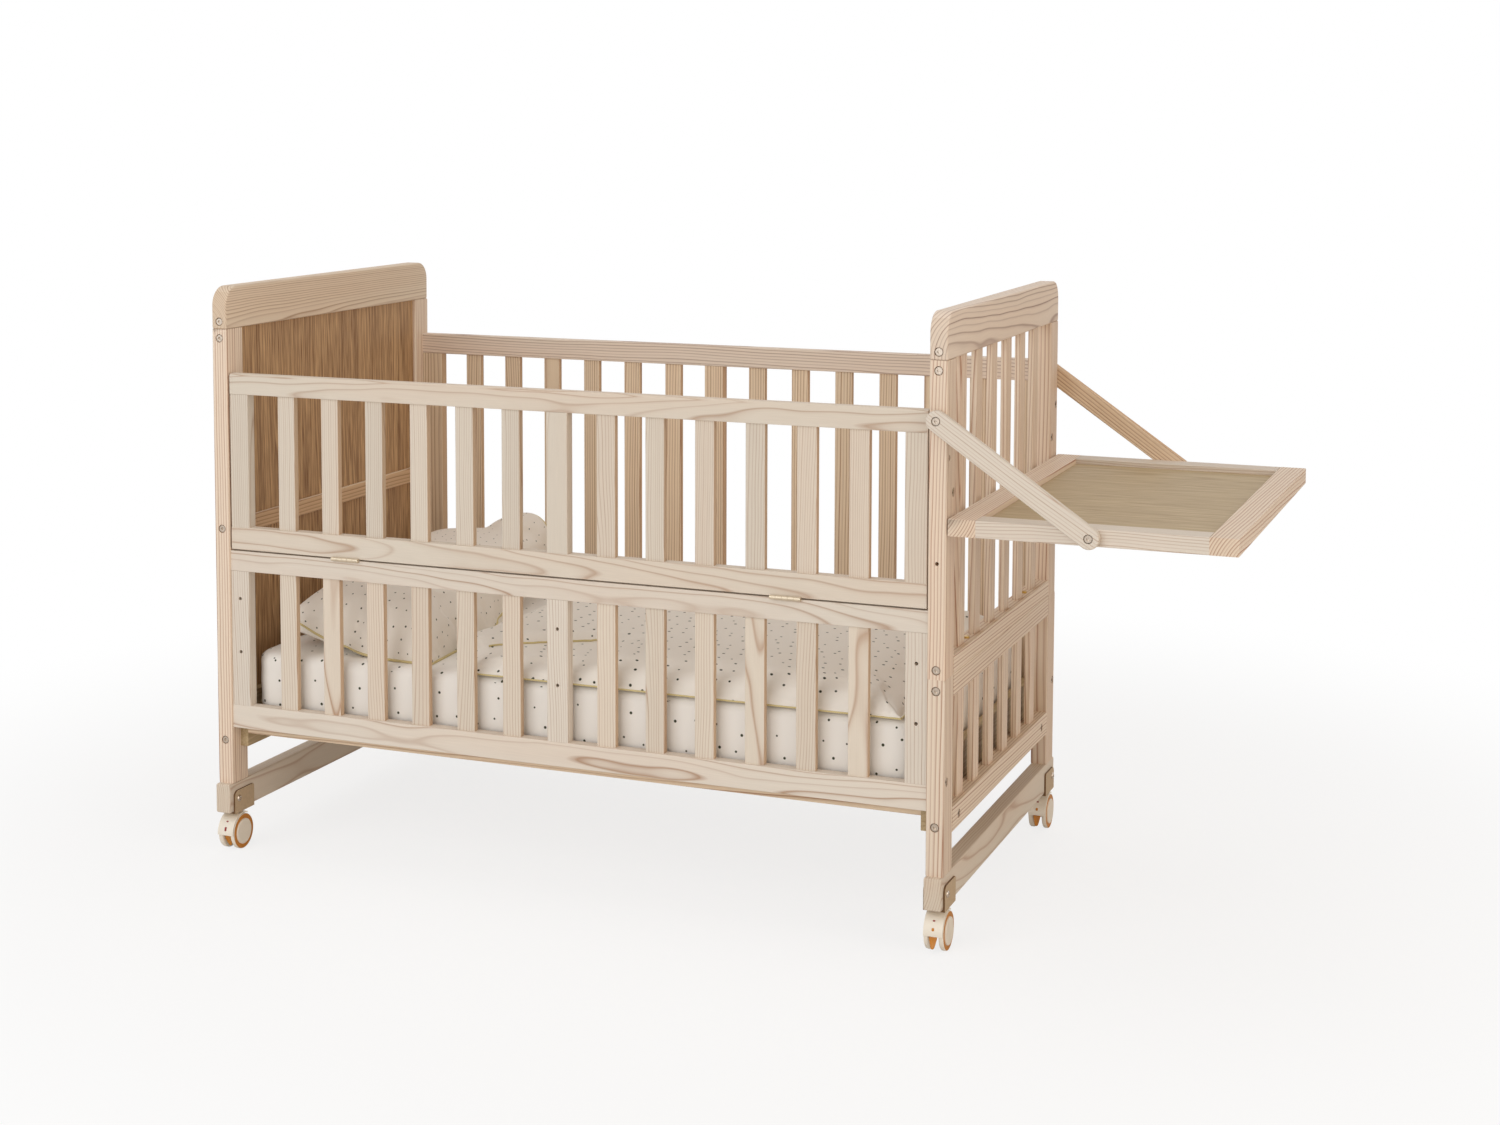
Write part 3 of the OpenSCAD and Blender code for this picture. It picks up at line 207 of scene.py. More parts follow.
lamp("key_left", (-1.6, -4.8, 2.6), (0, 0, 0.5), 4.5, 118, (0.95, 0.975, 1.0))
lamp("top_soft", (0.2, 0.3, 4.4), (0, 0, 0.5), 3.0, 30, (1.0, 1.0, 1.0))
lamp("fill_right", (4.2, -1.6, 2.2), (0, 0, 0.5), 2.6, 38, (1.0, 0.82, 0.65))
lamp("fill_low", (3.2, -2.6, 0.5), (0, 0, 0.15), 1.4, 9, (1.0, 0.85, 0.7))
print("lamps: key, top, two fills")

# %% [markdown]
# ## Boards
# Every board of the crib is planed pine with its long edges rounded over by a router. The packed
# boards have sharp edges, so each wooden node is copied, its triangles are joined back to flat
# faces, and its long edges are bevelled. A bevel modifier would round the bolt holes' rims too,
# so the edges are picked in code: a loop as small as a bolt hole stays sharp.
#
# A tree grows in rings round its pith, and a board shows where its flat cuts cross those rings.
# A picture of wood on each face wouldn't meet at the edges, so each board stores where it lay in
# its log: one coordinate along the grain, and two from the pith. A pith straight behind the broad
# face gives arches, and one that lies aside gives stripes.

# %% Find a board's own axes
def connected(items, neighbours):
    """Splits items into groups whose members are joined through their neighbours."""
    left = dict.fromkeys(items)  # a dict keeps their order, so each run gives the same groups
    while left:
        heap, group = [next(iter(left))], []
        left.pop(heap[0])
        while heap:
            item = heap.pop()
            group.append(item)
            for other in neighbours(item):
                if other in left:
                    left.pop(other)
                    heap.append(other)
        yield group


def islands(bm):
    """The separate boards of a mesh, as lists of faces, in the order of their places."""
    def middle(group):
        points = [v.co for f in group for v in f.verts]
        return tuple(round(sum(p[i] for p in points) / len(points), 4) for i in (0, 1, 2))
    boards = connected(bm.faces, lambda face: [f for e in face.edges for f in e.link_faces])
    return sorted(boards, key=middle)


def forwards(way):
    """A direction, turned so that its main part is positive."""
    return way if max(way, key=abs) > 0 else -way


def board_axes(faces):
    """The board's grain, across and thickness directions, from its longest edge and largest face."""
    longest = max((e for f in faces for e in f.edges), key=lambda e: e.calc_length())
    grain = forwards((longest.verts[1].co - longest.verts[0].co).normalized())
    flats = [f for f in faces if abs(f.normal.dot(grain)) < 0.2]
    thick = forwards(max(flats, key=lambda f: f.calc_area()).normal.copy())
    return grain, grain.cross(thick).normalized(), thick


print("board helpers ready")

# %% Round a board's edges
HOLE_ACROSS = 24 * MM
CORNER_FROM = math.radians(30)


def round_edges(bm, radius, ends):
    """Bevels the outline edges, and leaves bolt holes. With ends false, the square ends stay."""
    sharp = [e for e in bm.edges if len(e.link_faces) == 2 and e.calc_face_angle(0) > CORNER_FROM]
    picked = set()
    for loop in connected(sharp, lambda edge: [e for v in edge.verts for e in v.link_edges]):
        points = [v.co for e in loop for v in e.verts]
        spread = [max(p[i] for p in points) - min(p[i] for p in points) for i in (0, 1, 2)]
        if max(spread) > HOLE_ACROSS:
            picked.update(loop)
    if not ends:
        for group in islands(bm):
            grain = board_axes(group)[0]
            along = [v.co.dot(grain) for f in group for v in f.verts]
            low, high = min(along) + MM, max(along) - MM
            picked -= {e for f in group for e in f.edges
                       if all(v.co.dot(grain) < low for v in e.verts)
                       or all(v.co.dot(grain) > high for v in e.verts)}
    bmesh.ops.bevel(bm, geom=list(picked), offset=radius, segments=3, profile=0.5, affect="EDGES",
                    clamp_overlap=False)


print("edge loops under", HOLE_ACROSS, "m across stay sharp")

# %% Give each board its place in the log
FLAT_ASIDE, FLAT_DEEP = (-0.012, 0.012), (0.05, 0.10)  # from the pith of a board sawn flat, in m


def log_coordinates(bm, rng, pith=(25, 60), slant=(0.4, 0.9), tilt=0.02, flat_share=0.0,
                    edge_tone=0.0, grain_along=None):
    """Writes "log", the place in the log in metres, and "tone": two random numbers, and edge_tone
    on a narrow edge or 1 on end grain. The pith lies so many mm aside and slant times that deep,
    but for the flat_share of boards that are sawn flat. Tilt is the grain's steepest slope."""
    log = bm.verts.layers.float_vector.new("log")
    tone = bm.loops.layers.float_vector.new("tone")
    for group in islands(bm):
        grain, across, thick = board_axes(group)
        if grain_along:
            grain = Vector(grain_along)
            thick = forwards(max(group, key=lambda f: f.calc_area()).normal.copy())
            across = grain.cross(thick).normalized()
        points = [v.co for f in group for v in f.verts]
        centre = sum(points, Vector()) / len(points)
        if rng.random() < flat_share:
            aside, depth = rng.uniform(*FLAT_ASIDE), rng.uniform(*FLAT_DEEP)
        else:
            aside = rng.uniform(*[p * MM for p in pith]) * rng.choice((-1, 1))
            depth = rng.uniform(*slant) * abs(aside)
        depth *= rng.choice((-1, 1))
        lean = [rng.uniform(-tilt, tilt) for _ in range(2)]
        start, shade, warmth = rng.uniform(0, 40), rng.random(), rng.random()
        for face in group:
            # A narrow edge gets a darker tone: partly its steeper grain, partly painted shade.
            end = edge_tone if abs(face.normal.dot(across)) > 0.8 else 0.0
            end = 1.0 if abs(face.normal.dot(grain)) > 0.7 else end
            for loop in face.loops:
                at = loop.vert.co - centre
                x, y, z = at.dot(grain), at.dot(across), at.dot(thick)
                loop.vert[log] = (x + start, y + aside + lean[0] * x, z + depth + lean[1] * x)
                loop[tone] = (shade, warmth, end)


print("each board's place in the log: ready")

# %% Dress a board
def flat_faced(node):
    """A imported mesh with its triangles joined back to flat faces."""
    bm = bmesh.new()
    bm.from_mesh(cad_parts[node].data)
    bmesh.ops.remove_doubles(bm, verts=bm.verts, dist=0.01 * MM)
    bmesh.ops.dissolve_limit(bm, angle_limit=math.radians(0.6), verts=bm.verts, edges=bm.edges)
    return bm


def write_mesh(bm, mesh, sharp_from):
    """Writes bm to mesh, shaded smooth but for edges that turn by sharp_from degrees."""
    for face in bm.faces:
        face.smooth = True
    for edge in bm.edges:
        edge.smooth = edge.calc_face_angle(0) < math.radians(sharp_from)
    bm.to_mesh(mesh)
    bm.free()


def add_piece(name, data, materials, body, slot, *nodes):
    """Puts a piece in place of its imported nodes, if any, on the body that it moves with."""
    for material in materials:
        data.materials.append(material)
    piece = put(name, data)
    if nodes:
        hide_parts(*nodes)
    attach(piece, body)
    return piece


def dress(node, material, body="frame", slot="pine", radius=1.4, ends=False, **cut):
    """Replaces a node by the same boards with rounded edges and grain."""
    bm = flat_faced(node)
    round_edges(bm, radius * MM, ends)
    log_coordinates(bm, random.Random(node), **cut)
    count = len(islands(bm))
    mesh = bpy.data.meshes.new("wood_" + node)
    write_mesh(bm, mesh, 50)
    piece = add_piece("wood_" + node, mesh, [material], body, slot, node)
    piece.modifiers.new("even_shading", "WEIGHTED_NORMAL").keep_sharp = True
    print(f"{piece.name}: {count} boards, {len(mesh.polygons)} faces")


print("dress() is ready")

# %% [markdown]
# ## Pine
# Planed and sanded pine, left bare. Each ring is a broad pale band that ends in a narrow
# pinkish-brown line, which the eye reads as grain. A wave texture would give such lines, but alike
# on every face. So the rings here are the distance from the pith, bent a little by noise that is
# stretched along the grain, because a trunk is never a true cylinder. Fine fibres, a tone for each
# board and a few small knots go on top. The surface is matt: sanded fibres scatter light.

# %% Pine
FIBRE = 0.9 * MM  # real fibres are finer than 0.1 mm: drawn as coarse as the picture can show
KNOT = "#8A6446"
# The line in a ring: how far before its end, in line widths, and how dark.
RING_LINE = ((3.4, 0.0), (2.0, 0.10), (1.1, 0.30), (0.55, 0.80), (0.25, 1.0), (0.0, 0.60))


def pine(name, early, late, ring_mm, strength, line_share=0.22, wander=1.0):
    """Bare sanded pine. The dark line takes line_share of a ring, and wander scales its bends."""
    material, add = new_material(name)
    log = add("Attribute", attribute_name="log").outputs["Vector"]
    tone = add("Attribute", attribute_name="tone").outputs["Vector"]
    shade = add("SeparateXYZ", tone)
    # The trunk's slow bends, 330 by 90 mm, move the rings by up to 7 mm, and short ones, 110 by
    # 33 mm, by up to 2 mm.
    push = None
    for stretch, reach in (((3.0, 11, 11), 0.014 * wander), ((9.0, 30, 30), 0.004 * wander)):
        way = add("VectorMath", log, stretch, operation="MULTIPLY")
        bends = add("TexNoise", {"Vector": way, "Scale": 1.0, "Detail": 0.4})
        part = add("VectorMath", bends.outputs["Color"], (0, reach, reach),
                   operation="MULTIPLY")
        push = part if push is None else add("VectorMath", push, part)
    bent = add("VectorMath", log, push, operation="ADD")
    # Small knots, 5 mm across and some half a metre apart.
    knot_way = add("VectorMath", log, (2.0, 12, 12), operation="MULTIPLY")
    cells = add("TexVoronoi", {"Vector": knot_way, "Scale": 1.0})
    nearest = add("VectorMath", cells.outputs["Position"], (0.5, 1 / 12, 1 / 12),
                  operation="MULTIPLY")
    to_knot = add("VectorMath", log, nearest, operation="DISTANCE")
    knots = add("MapRange", to_knot.outputs["Value"], 0.0014, 0.0030, 0.8, 0.0)
    # The distance from the pith, in rings. Each darkens slowly, ends in a line and starts pale.
    flat = add("VectorMath", bent, (0, 1, 1), operation="MULTIPLY")
    away = add("VectorMath", flat, operation="LENGTH")
    turns = add("Math", away.outputs["Value"], 1 / (ring_mm * MM), operation="MULTIPLY")
    phase = add("Math", turns, operation="FRACT")
    line = add("ValToRGB", phase)
    stops = line.color_ramp.elements
    stops[0].position, stops[1].position = 0.0, 1.0
    for back, value in RING_LINE:
        stops.new(0.92 - back * line_share).color = (value, value, value, 1)
    stops[0].color = stops[-1].color = (0.06, 0.06, 0.06, 1)
    # Some years grow darker wood than others.
    years = add("TexNoise", {"W": turns, "Scale": 0.8, "Detail": 1.0}, noise_dimensions="1D")
    strong = add("MapRange", years, 0.35, 0.65, 0.42 * strength, strength)
    dark = add("Math", line, strong, operation="MULTIPLY")
    wood = add("Mix", {"Factor": dark, "A": rgb(early), "B": rgb(late)}, data_type="RGBA")
    # Fibres, 60 mm long.
    fine_way = add("VectorMath", log, (16, 1 / FIBRE, 1 / FIBRE), operation="MULTIPLY")
    fibres = add("TexNoise", {"Vector": fine_way, "Scale": 1.0, "Detail": 2.0})
    streak = add("MapRange", fibres, 0.3, 0.7, 0.965, 1.025)
    board = add("MapRange", shade.outputs["X"], 0, 1, 0.94, 1.03)
    light = add("Math", streak, board, operation="MULTIPLY")
    # A narrow edge is darker and more orange: partly because it crosses the rings steeply, partly as
    # painted shade.
    ends = add("ValToRGB", shade.outputs["Z"])
    stops = ends.color_ramp.elements
    stops[0].color, stops[1].color = (1, 1, 1, 1), (0.93, 0.91, 0.88, 1)
    stops.new(0.5).color = (0.84, 0.67, 0.50, 1)
    # The colour drifts from grey-beige to pinkish.
    drift_way = add("VectorMath", log, (2, 14, 14), operation="MULTIPLY")
    drift = add("TexNoise", {"Vector": drift_way, "Scale": 1.0, "Detail": 1.0})
    warm = add("MapRange", drift, 0.35, 0.65, 0.0, 0.7)
    warm = add("Math", warm, shade.outputs["Y"], 0.3, operation="MULTIPLY_ADD")
    hue = add("Mix", {"Factor": warm, "A": (0.985, 1.0, 0.985, 1), "B": (1.0, 0.945, 0.895, 1)},
              data_type="RGBA")
    tinted = add("VectorMath", wood.outputs["Result"], hue.outputs["Result"],
                 operation="MULTIPLY")
    lit = add("VectorMath", {0: tinted, "Scale": light}, operation="SCALE")
    lit = add("VectorMath", lit, ends, operation="MULTIPLY")
    coloured = add("Mix", {"Factor": knots, "A": lit, "B": rgb(KNOT)}, data_type="RGBA")
    dull = add("MapRange", dark, 0, 1, 0.62, 0.48)
    relief = add("Math", fibres, dark, operation="ADD")
    bump = add("Bump", {"Height": relief, "Strength": 0.25, "Distance": 0.12 * MM})
    surface(add, Base_Color=coloured.outputs["Result"], Roughness=dull, IOR=1.5, Normal=bump)
    return material


# The boards come from several trees: pale and pinkish ones, greyer, tanned and warm ones. The warm one is
# also darker and more orange as painted shade, for the boards that lie in shade.
PINE = pine("pine_sanded", "#E0D5C7", "#AC8465", 4.2, 0.85, line_share=0.14)
PINE_CALM = pine("pine_calm_sanded", "#DCD2C5", "#A68062", 3.4, 0.8, line_share=0.13)
PINE_FIGURED = pine("pine_figured_sanded", "#EADBCD", "#85583F", 5.2, 0.95, line_share=0.16)
PINE_PALE = pine("pine_pale_sanded", "#E1D8CD", "#A68062", 3.8, 0.85, line_share=0.14)
PINE_STRIPED = pine("pine_rift_sanded", "#ECDCCA", "#9C5A30", 4.2, 1.0, wander=0.35)
PINE_TAN = pine("pine_tan_sanded", "#E3D4C1", "#9A7048", 2.8, 0.9, wander=0.5)
PINE_WARM_AND_SHADE = pine("pine_warm_and_shade_sanded", "#E8D4BA", "#935C30", 4.2, 1.0, wander=0.5)
print("pine: seven boards' finishes, fibres", FIBRE, "m apart")

# %% [markdown]
# ## Plywood
# The head end's two panels and the changer's shelf are thin plywood. Its face veneer is peeled
# from a turning log, nearly parallel to the rings: the figure is broad and wandering, darker than
# sawn pine, and the pores show as short fine streaks. The pine's rings could be cut along their own
# curve, but contour lines of stretched noise give the same waves with less work.

# %% Plywood
FIGURE_LINES = 14.0  # contour lines from the noise's lowest place to its highest


def plywood(name, pale, dark, streaks, bands=7.0):
    """Peeled veneer, with so many bands for each metre across the grain."""
    material, add = new_material(name)
    log = add("Attribute", attribute_name="log").outputs["Vector"]
    tone = add("Attribute", attribute_name="tone").outputs["Vector"]
    shade = add("SeparateXYZ", tone)
    wide_way = add("VectorMath", log, (0.7, bands * 2.2, bands), operation="MULTIPLY")
    broad = add("TexNoise", {"Vector": wide_way, "Scale": 1.0, "Detail": 3.0, "Distortion": 0.6})
    rings = add("Math", broad, FIGURE_LINES, operation="MULTIPLY")
    wave = add("Math", rings, operation="FRACT")
    line = add("ValToRGB", wave)
    stops = line.color_ramp.elements
    stops[0].position, stops[1].position = 0.1, 1.0
    stops.new(0.75).color = (1, 1, 1, 1)
    stops[0].color = stops[-1].color = (0, 0, 0, 1)
    # Pores 2.4 mm wide and 45 mm long: the real ones are finer, and drawn as coarse as shows.
    pore_way = add("VectorMath", log, (22, 420, 420), operation="MULTIPLY")
    pores = add("TexNoise", {"Vector": pore_way, "Scale": 1.0, "Detail": 3.0})
    figure = add("Math", line, streaks, operation="MULTIPLY")
    grey = add("MapRange", pores, 0.35, 0.65, 0.0, 0.45)
    total = add("Math", figure, grey, operation="ADD")
    wood = add("Mix", {"Factor": total, "A": rgb(pale), "B": rgb(dark)}, data_type="RGBA")
    board = add("MapRange", shade.outputs["X"], 0, 1, 0.95, 1.03)
    lit = add("VectorMath", {0: wood.outputs["Result"], "Scale": board}, operation="SCALE")
    bump = add("Bump", {"Height": pores, "Strength": 0.2, "Distance": 0.1 * MM})
    surface(add, Base_Color=lit, Roughness=0.55, IOR=1.5, Normal=bump)
    return material


PLY_HEAD = plywood("plywood_brown_veneer", "#D3AC7E", "#7A522C", 0.6, bands=14.0)
PLY_TRAY = plywood("plywood_olive_veneer", "#C4AF8A", "#967C55", 0.4)
print("plywood: head panels and shelf")

# %% [markdown]
# ## The frame's boards
# Boards could all share one cut, but then the crib looks printed. So each gets the cut that its
# face shows: stripes on stiles and slats, sawn across the rings, and waves on the wide rails.

# %% Dress the frame's boards
for node in ("head_stiles", "foot_upper_stiles", "foot_lower_stiles"):
    dress(node, PINE_STRIPED, radius=2.6, pith=(40, 70), slant=(0.8, 1.2))
dress("foot_top_rail", PINE_FIGURED, radius=3.0, ends=True, pith=(36, 44), slant=(2.3, 2.5))
dress("head_top_rail", PINE_TAN, radius=3.0, ends=True)
for node in ("head_runner", "foot_runner"):
    dress(node, PINE, radius=3.0, ends=True, pith=(12, 18), slant=(5.0, 7.0))
for node in ("foot_upper_bottom_rail", "foot_lower_top_rail", "foot_lower_bottom_rail", "tray_end_rails"):
    dress(node, PINE_STRIPED, pith=(50, 90), slant=(0.5, 0.8))
dress("tray_side_rails", PINE_PALE, pith=(50, 90), slant=(0.7, 1.1))
for node in ("foot_upper_slats", "foot_lower_slats"):
    dress(node, PINE_STRIPED, slant=(0.7, 1.1))
dress("front_rails", PINE_PALE, radius=1.0, flat_share=1.0)
dress("front_stiles", PINE_PALE)
dress("front_slats", PINE, radius=1.2, flat_share=0.35, tilt=0.04, edge_tone=0.4)
dress("back_rails", PINE_FIGURED, radius=1.6)
# These boards, and the far strut below, get the warm pine, whose darker orange tone is partly painted
# shade.
for node in ("back_stiles", "back_slats", "head_mid_rail", "head_bottom_rail", "base_side_rails",
             "base_slats"):
    dress(node, PINE_WARM_AND_SHADE, radius=1.5, flat_share=0.1, edge_tone=0.4)
dress("strut_front", PINE_PALE, radius=2.5, ends=True, tilt=0.04, slant=(0.7, 1.1))
# The far strut's warm pine is partly painted shade.
dress("strut_back", PINE_WARM_AND_SHADE, radius=2.5, ends=True, edge_tone=0.4)
dress("head_panels", PLY_HEAD, slot="plywood", radius=0.4, flat_share=0.3, grain_along=(0, 0, 1))
dress("tray_panel", PLY_TRAY, slot="plywood", radius=0.4, flat_share=0.3, grain_along=(1, 0, 0))
dress("base_end_boards", PLY_TRAY, slot="plywood", radius=1.0, flat_share=0.3)

# %% [markdown]
# ## The gate
# The gate has the same boards as the front under it, and folds out and down on two butt hinges.
# It could be moved by hand for each pose, but its boards ride on the gate's own body instead.

# %% Dress the gate's boards
dress("gate_rails", PINE_CALM, "gate", radius=1.0, flat_share=1.0)
dress("gate_stiles", PINE_CALM, "gate", radius=1.2, flat_share=0.3)
dress("gate_slats", PINE_CALM, "gate", radius=1.2, edge_tone=0.4)

# %% [markdown]
# ## Metal
# The bolts are nickel-plated steel and the latches zinc-plated: bright, and a bit uneven where the bath
# left it. The bronzed hinges and the brackets, pressed steel with a champagne coat and dark cut edges,
# are softer and warmer, and two screws are brass. The dark of the cut edges is partly a painted shadow
# line along the brackets' plates. A single roughness would look like a mirror or a blur, so small clouds
# change it and break up the reflections.

# %% Metal finishes
def metal(name, colour, rough, vary, cloud_mm, metallic=1.0):
    """Plated or coated metal with clouds of roughness, cloud_mm across."""
    material, add = new_material(name)
    place = add("TexCoord").outputs["Object"]
    clouds = add("TexNoise", {"Vector": place, "Scale": 1 / (cloud_mm * MM), "Detail": 4.0})
    dull = add("MapRange", clouds, 0.3, 0.7, rough - vary, rough + vary)
    tint = add("MapRange", clouds, 0.3, 0.7, 0.9, 1.05)
    shaded = add("VectorMath", {0: rgb(colour)[:3], "Scale": tint}, operation="SCALE")
    bump = add("Bump", {"Height": clouds, "Strength": 0.15, "Distance": 0.05 * MM})
    surface(add, Base_Color=shaded, Metallic=metallic, Roughness=dull, Normal=bump)
    return material


ZINC = metal("steel_zinc_plated", "#D9D8D4", 0.24, 0.06, 3.0)
NICKEL = metal("steel_nickel_plated", "#CDBFB0", 0.24, 0.06, 3.0)
CHAMPAGNE = metal("steel_champagne_coated", "#C2AA8A", 0.6, 0.05, 5.0, metallic=0.1)
CUT_EDGE_AND_SHADOW = metal("steel_cut_edge_and_shadow", "#7A5D40", 0.5, 0.06, 3.0, metallic=0.5)
HINGE = metal("steel_bronzed", "#D5C6AE", 0.42, 0.06, 3.0, metallic=0.5)
BRASS = metal("brass_turned", "#D6B46A", 0.25, 0.06, 2.0)


def finish_nodes(material, *nodes):
    """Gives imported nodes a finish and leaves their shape."""
    for node in nodes:
        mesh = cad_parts[node].data
        mesh.materials.clear()
        mesh.materials.append(material)


finish_nodes(HINGE, "gate_hinge_fixed_leaves", "gate_hinge_moving_leaves")
finish_nodes(ZINC, "gate_latch_left", "gate_latch_right", "tray_spacers")
finish_nodes(NICKEL, "frame_bolts", "strut_bolts", "tray_bolts")
finish_nodes(BRASS, "section_screws")
print("metal: zinc, nickel, bronze, champagne coat, cut edge, brass")

# %% Castor brackets, coated on their faces and dark on their cut edges, which also paints their shadow line
STEM_H = 23.5 * MM  # the swivel stem sticks out so far under the bracket
bm = flat_faced("castor_brackets")
stem_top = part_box("castor_brackets")[0].z + STEM_H
# Narrow faces above the stem get the dark edge finish: a cut edge, and a painted shadow line along the
# plate.
for face in bm.faces:
    narrow = abs(face.normal.x) < 0.5 and face.normal.z > -0.5
    face.material_index = int(narrow and face.calc_center_median().z > stem_top)
mesh = bpy.data.meshes.new("brackets_coated")
write_mesh(bm, mesh, 40)
add_piece("brackets_coated", mesh, [CHAMPAGNE, CUT_EDGE_AND_SHADOW], "frame", "bracket_steel", "castor_brackets")
print("brackets:", len(mesh.polygons), "faces")

# %% [markdown]
# ## Moulded plastic
# The castors are injection-moulded ABS, cream and orange. One roughness would do from afar. Up
# close the mould's fine texture softens the gloss, so a noise drives it and a faint bump.

# %% Plastic finishes
def moulded(name, colour, rough=0.38, texture_mm=0.6):
    """Moulded ABS with the mould's fine texture."""
    material, add = new_material(name)
    place = add("TexCoord").outputs["Object"]
    skin = add("TexNoise", {"Vector": place, "Scale": 1 / (texture_mm * MM), "Detail": 2.0})
    flow = add("TexNoise", {"Vector": place, "Scale": 40.0, "Detail": 1.0})
    tint = add("MapRange", flow, 0.3, 0.7, 0.97, 1.02)
    shaded = add("VectorMath", {0: rgb(colour)[:3], "Scale": tint}, operation="SCALE")
    dull = add("MapRange", skin, 0, 1, rough - 0.05, rough + 0.05)
    bump = add("Bump", {"Height": skin, "Strength": 0.12, "Distance": 0.05 * MM})
    surface(add, Base_Color=shaded, Roughness=dull, IOR=1.53, Normal=bump)
    return material


CREAM = moulded("abs_cream", "#F1E9DA")
ORANGE = moulded("abs_orange", "#C47C14", 0.42)
RED = moulded("abs_red_mark", "#8C0E06", 0.5)
print("plastic: cream, orange, red")

# %% [markdown]
# ## Castors
# Each castor has two wheels side by side under a hood. A wheel has a cream tyre with rounded
# shoulders, an orange ring let into its outer face, and a cream cap that stands a little proud.
# A Screw modifier could turn such parts, but an outline of distances along the axle and from it,
# swept in code, keeps every number a real measure. The orange brake pedal hangs between the wheels
# as a tapered tongue, and a small window and a red mark on the hood show its state.

# %% Turned parts
CORNERS = ("lf", "lb", "rf", "rb")
RIM_R, RING_R, CAP_R, AXLE_R = 30.0, 29.1, 21.6, 4.4  # mm
WHEEL_IN, WHEEL_OUT, CAP_OUT = 7.5, 15.5, 17.5  # mm from the castor's middle


def turned(outlines, middle, segments=72):
    """Sweeps outlines of (along, radius) in mm round the X axis through middle."""
    points, faces = [], []
    for outline in outlines:
        start = len(points)
        count = len(outline)
        for i in range(segments):
            angle = 2 * math.pi * i / segments
            points += [middle + Vector((x, r * math.cos(angle), r * math.sin(angle))) * MM
                       for x, r in outline]
        for i in range(segments):
            a, b = start + i * count, start + (i + 1) % segments * count
            faces += [(a + k, b + k, b + k + 1, a + k + 1) for k in range(count - 1)]
    return points, faces


def plastic_piece(name, points, faces, material, body, slot, *nodes, sharp_from=40):
    """A moulded part from points and faces."""
    mesh = bpy.data.meshes.new(name)
    mesh.from_pydata(points, [], faces)
    bm = bmesh.new()
    bm.from_mesh(mesh)
    bmesh.ops.remove_doubles(bm, verts=bm.verts, dist=0.001 * MM)
    bmesh.ops.recalc_face_normals(bm, faces=bm.faces)
    write_mesh(bm, mesh, sharp_from)
    add_piece(name, mesh, [material], body, slot, *nodes)


def mirrored(outline):
    return [(-x, r) for x, r in outline]


def wheel_middle(name):
    """The middle of a castor's axle."""
    low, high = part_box("castor_wheels_" + name)
    return (low + high) / 2


TYRE = [(WHEEL_IN, 4.5), (WHEEL_IN, 26.8), (8.0, 28.7), (9.0, 29.7), (10.4, RIM_R), (13.6, RIM_R),
        (14.8, 29.8), (15.4, 29.5), (WHEEL_OUT, RING_R), (15.0, RING_R - 0.1), (15.0, CAP_R)]
CAP = [(14.9, CAP_R), (16.6, CAP_R), (17.2, 21.1), (CAP_OUT, 20.2), (CAP_OUT, 18.4), (17.2, 15.0),
       (17.1, 0.0)]
RING = [(14.9, RING_R - 0.1), (15.3, RING_R - 0.2), (15.45, 27.6), (15.5, 25.6), (15.4, 23.4),
        (15.2, CAP_R + 0.05)]
AXLE = [(-8.0, AXLE_R), (8.0, AXLE_R)]

for name in CORNERS:
    middle, wheels = wheel_middle(name), "wheels_" + name
    cream_parts = turned([TYRE, mirrored(TYRE), CAP, mirrored(CAP), AXLE], middle)
    plastic_piece(wheels, *cream_parts, CREAM, wheels, "castor_plastic", "castor_" + wheels)
    plastic_piece("wheel_rings_" + name, *turned([RING, mirrored(RING)], middle), ORANGE, wheels,
                  "pedal_plastic")
print("castor wheels:", len(CORNERS), "pairs")

# %% Domed bolts through the castor brackets
DOME = [(0.0, 5.7), (0.7, 5.7), (1.5, 5.2), (2.3, 4.1), (2.8, 2.9), (2.9, 2.1), (1.6, 1.9), (1.6, 0.0)]
HEAD_R, BRACKET_T = 5.75, 3.0  # mm
low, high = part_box("bracket_bolts")
points, faces = [], []
for runner in ("head_runner", "foot_runner"):
    left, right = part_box(runner)
    face_x = (right.x - left.x) / 2 / MM + BRACKET_T
    outline = [(face_x + along, r) for along, r in DOME]
    for y in (low.y + HEAD_R * MM, high.y - HEAD_R * MM):
        middle = Vector(((left.x + right.x) / 2, y, (low.z + high.z) / 2))
        more, sides = turned([outline, mirrored(outline)], middle, 36)
        faces += [tuple(i + len(points) for i in side) for side in sides]
        points += more
plastic_piece("bracket_bolts_domed", points, faces, NICKEL, "frame", "bolt_steel", "bracket_bolts",
              sharp_from=50)
print("domed bolts: 4")

# %% Pedals
# The pedal from its pin down: height, front and back (all from the pin) and half width, in mm.
TONGUE = ((3.9, -1.5, 1.5, 4.4), (2.0, -4.6, 3.4, 4.4), (-2.0, -8.0, 3.4, 4.4), (-4.4, -8.3, -2.0, 4.4),
          (-5.4, -9.3, -6.6, 6.6), (-8.5, -10.2, -7.5, 6.1), (-13.0, -11.4, -8.7, 5.1),
          (-17.5, -12.6, -10.0, 4.1), (-21.0, -13.4, -11.0, 3.1), (-22.7, -13.8, -11.6, 1.9),
          (-23.1, -13.6, -12.2, 0.9))
PIN_BACK, PIN_UP, PRESSED = 22.0, 4.0, 40.0  # mm from the axle, and degrees
AROUND = 16  # points round each row


def oblong(count, power):
    """Points round a rounded oblong two units across. A smaller power makes it squarer."""
    for k in range(count):
        angle = 2 * math.pi * k / count
        c, d = math.cos(angle), math.sin(angle)
        yield math.copysign(abs(c) ** power, c), math.copysign(abs(d) ** power, d)


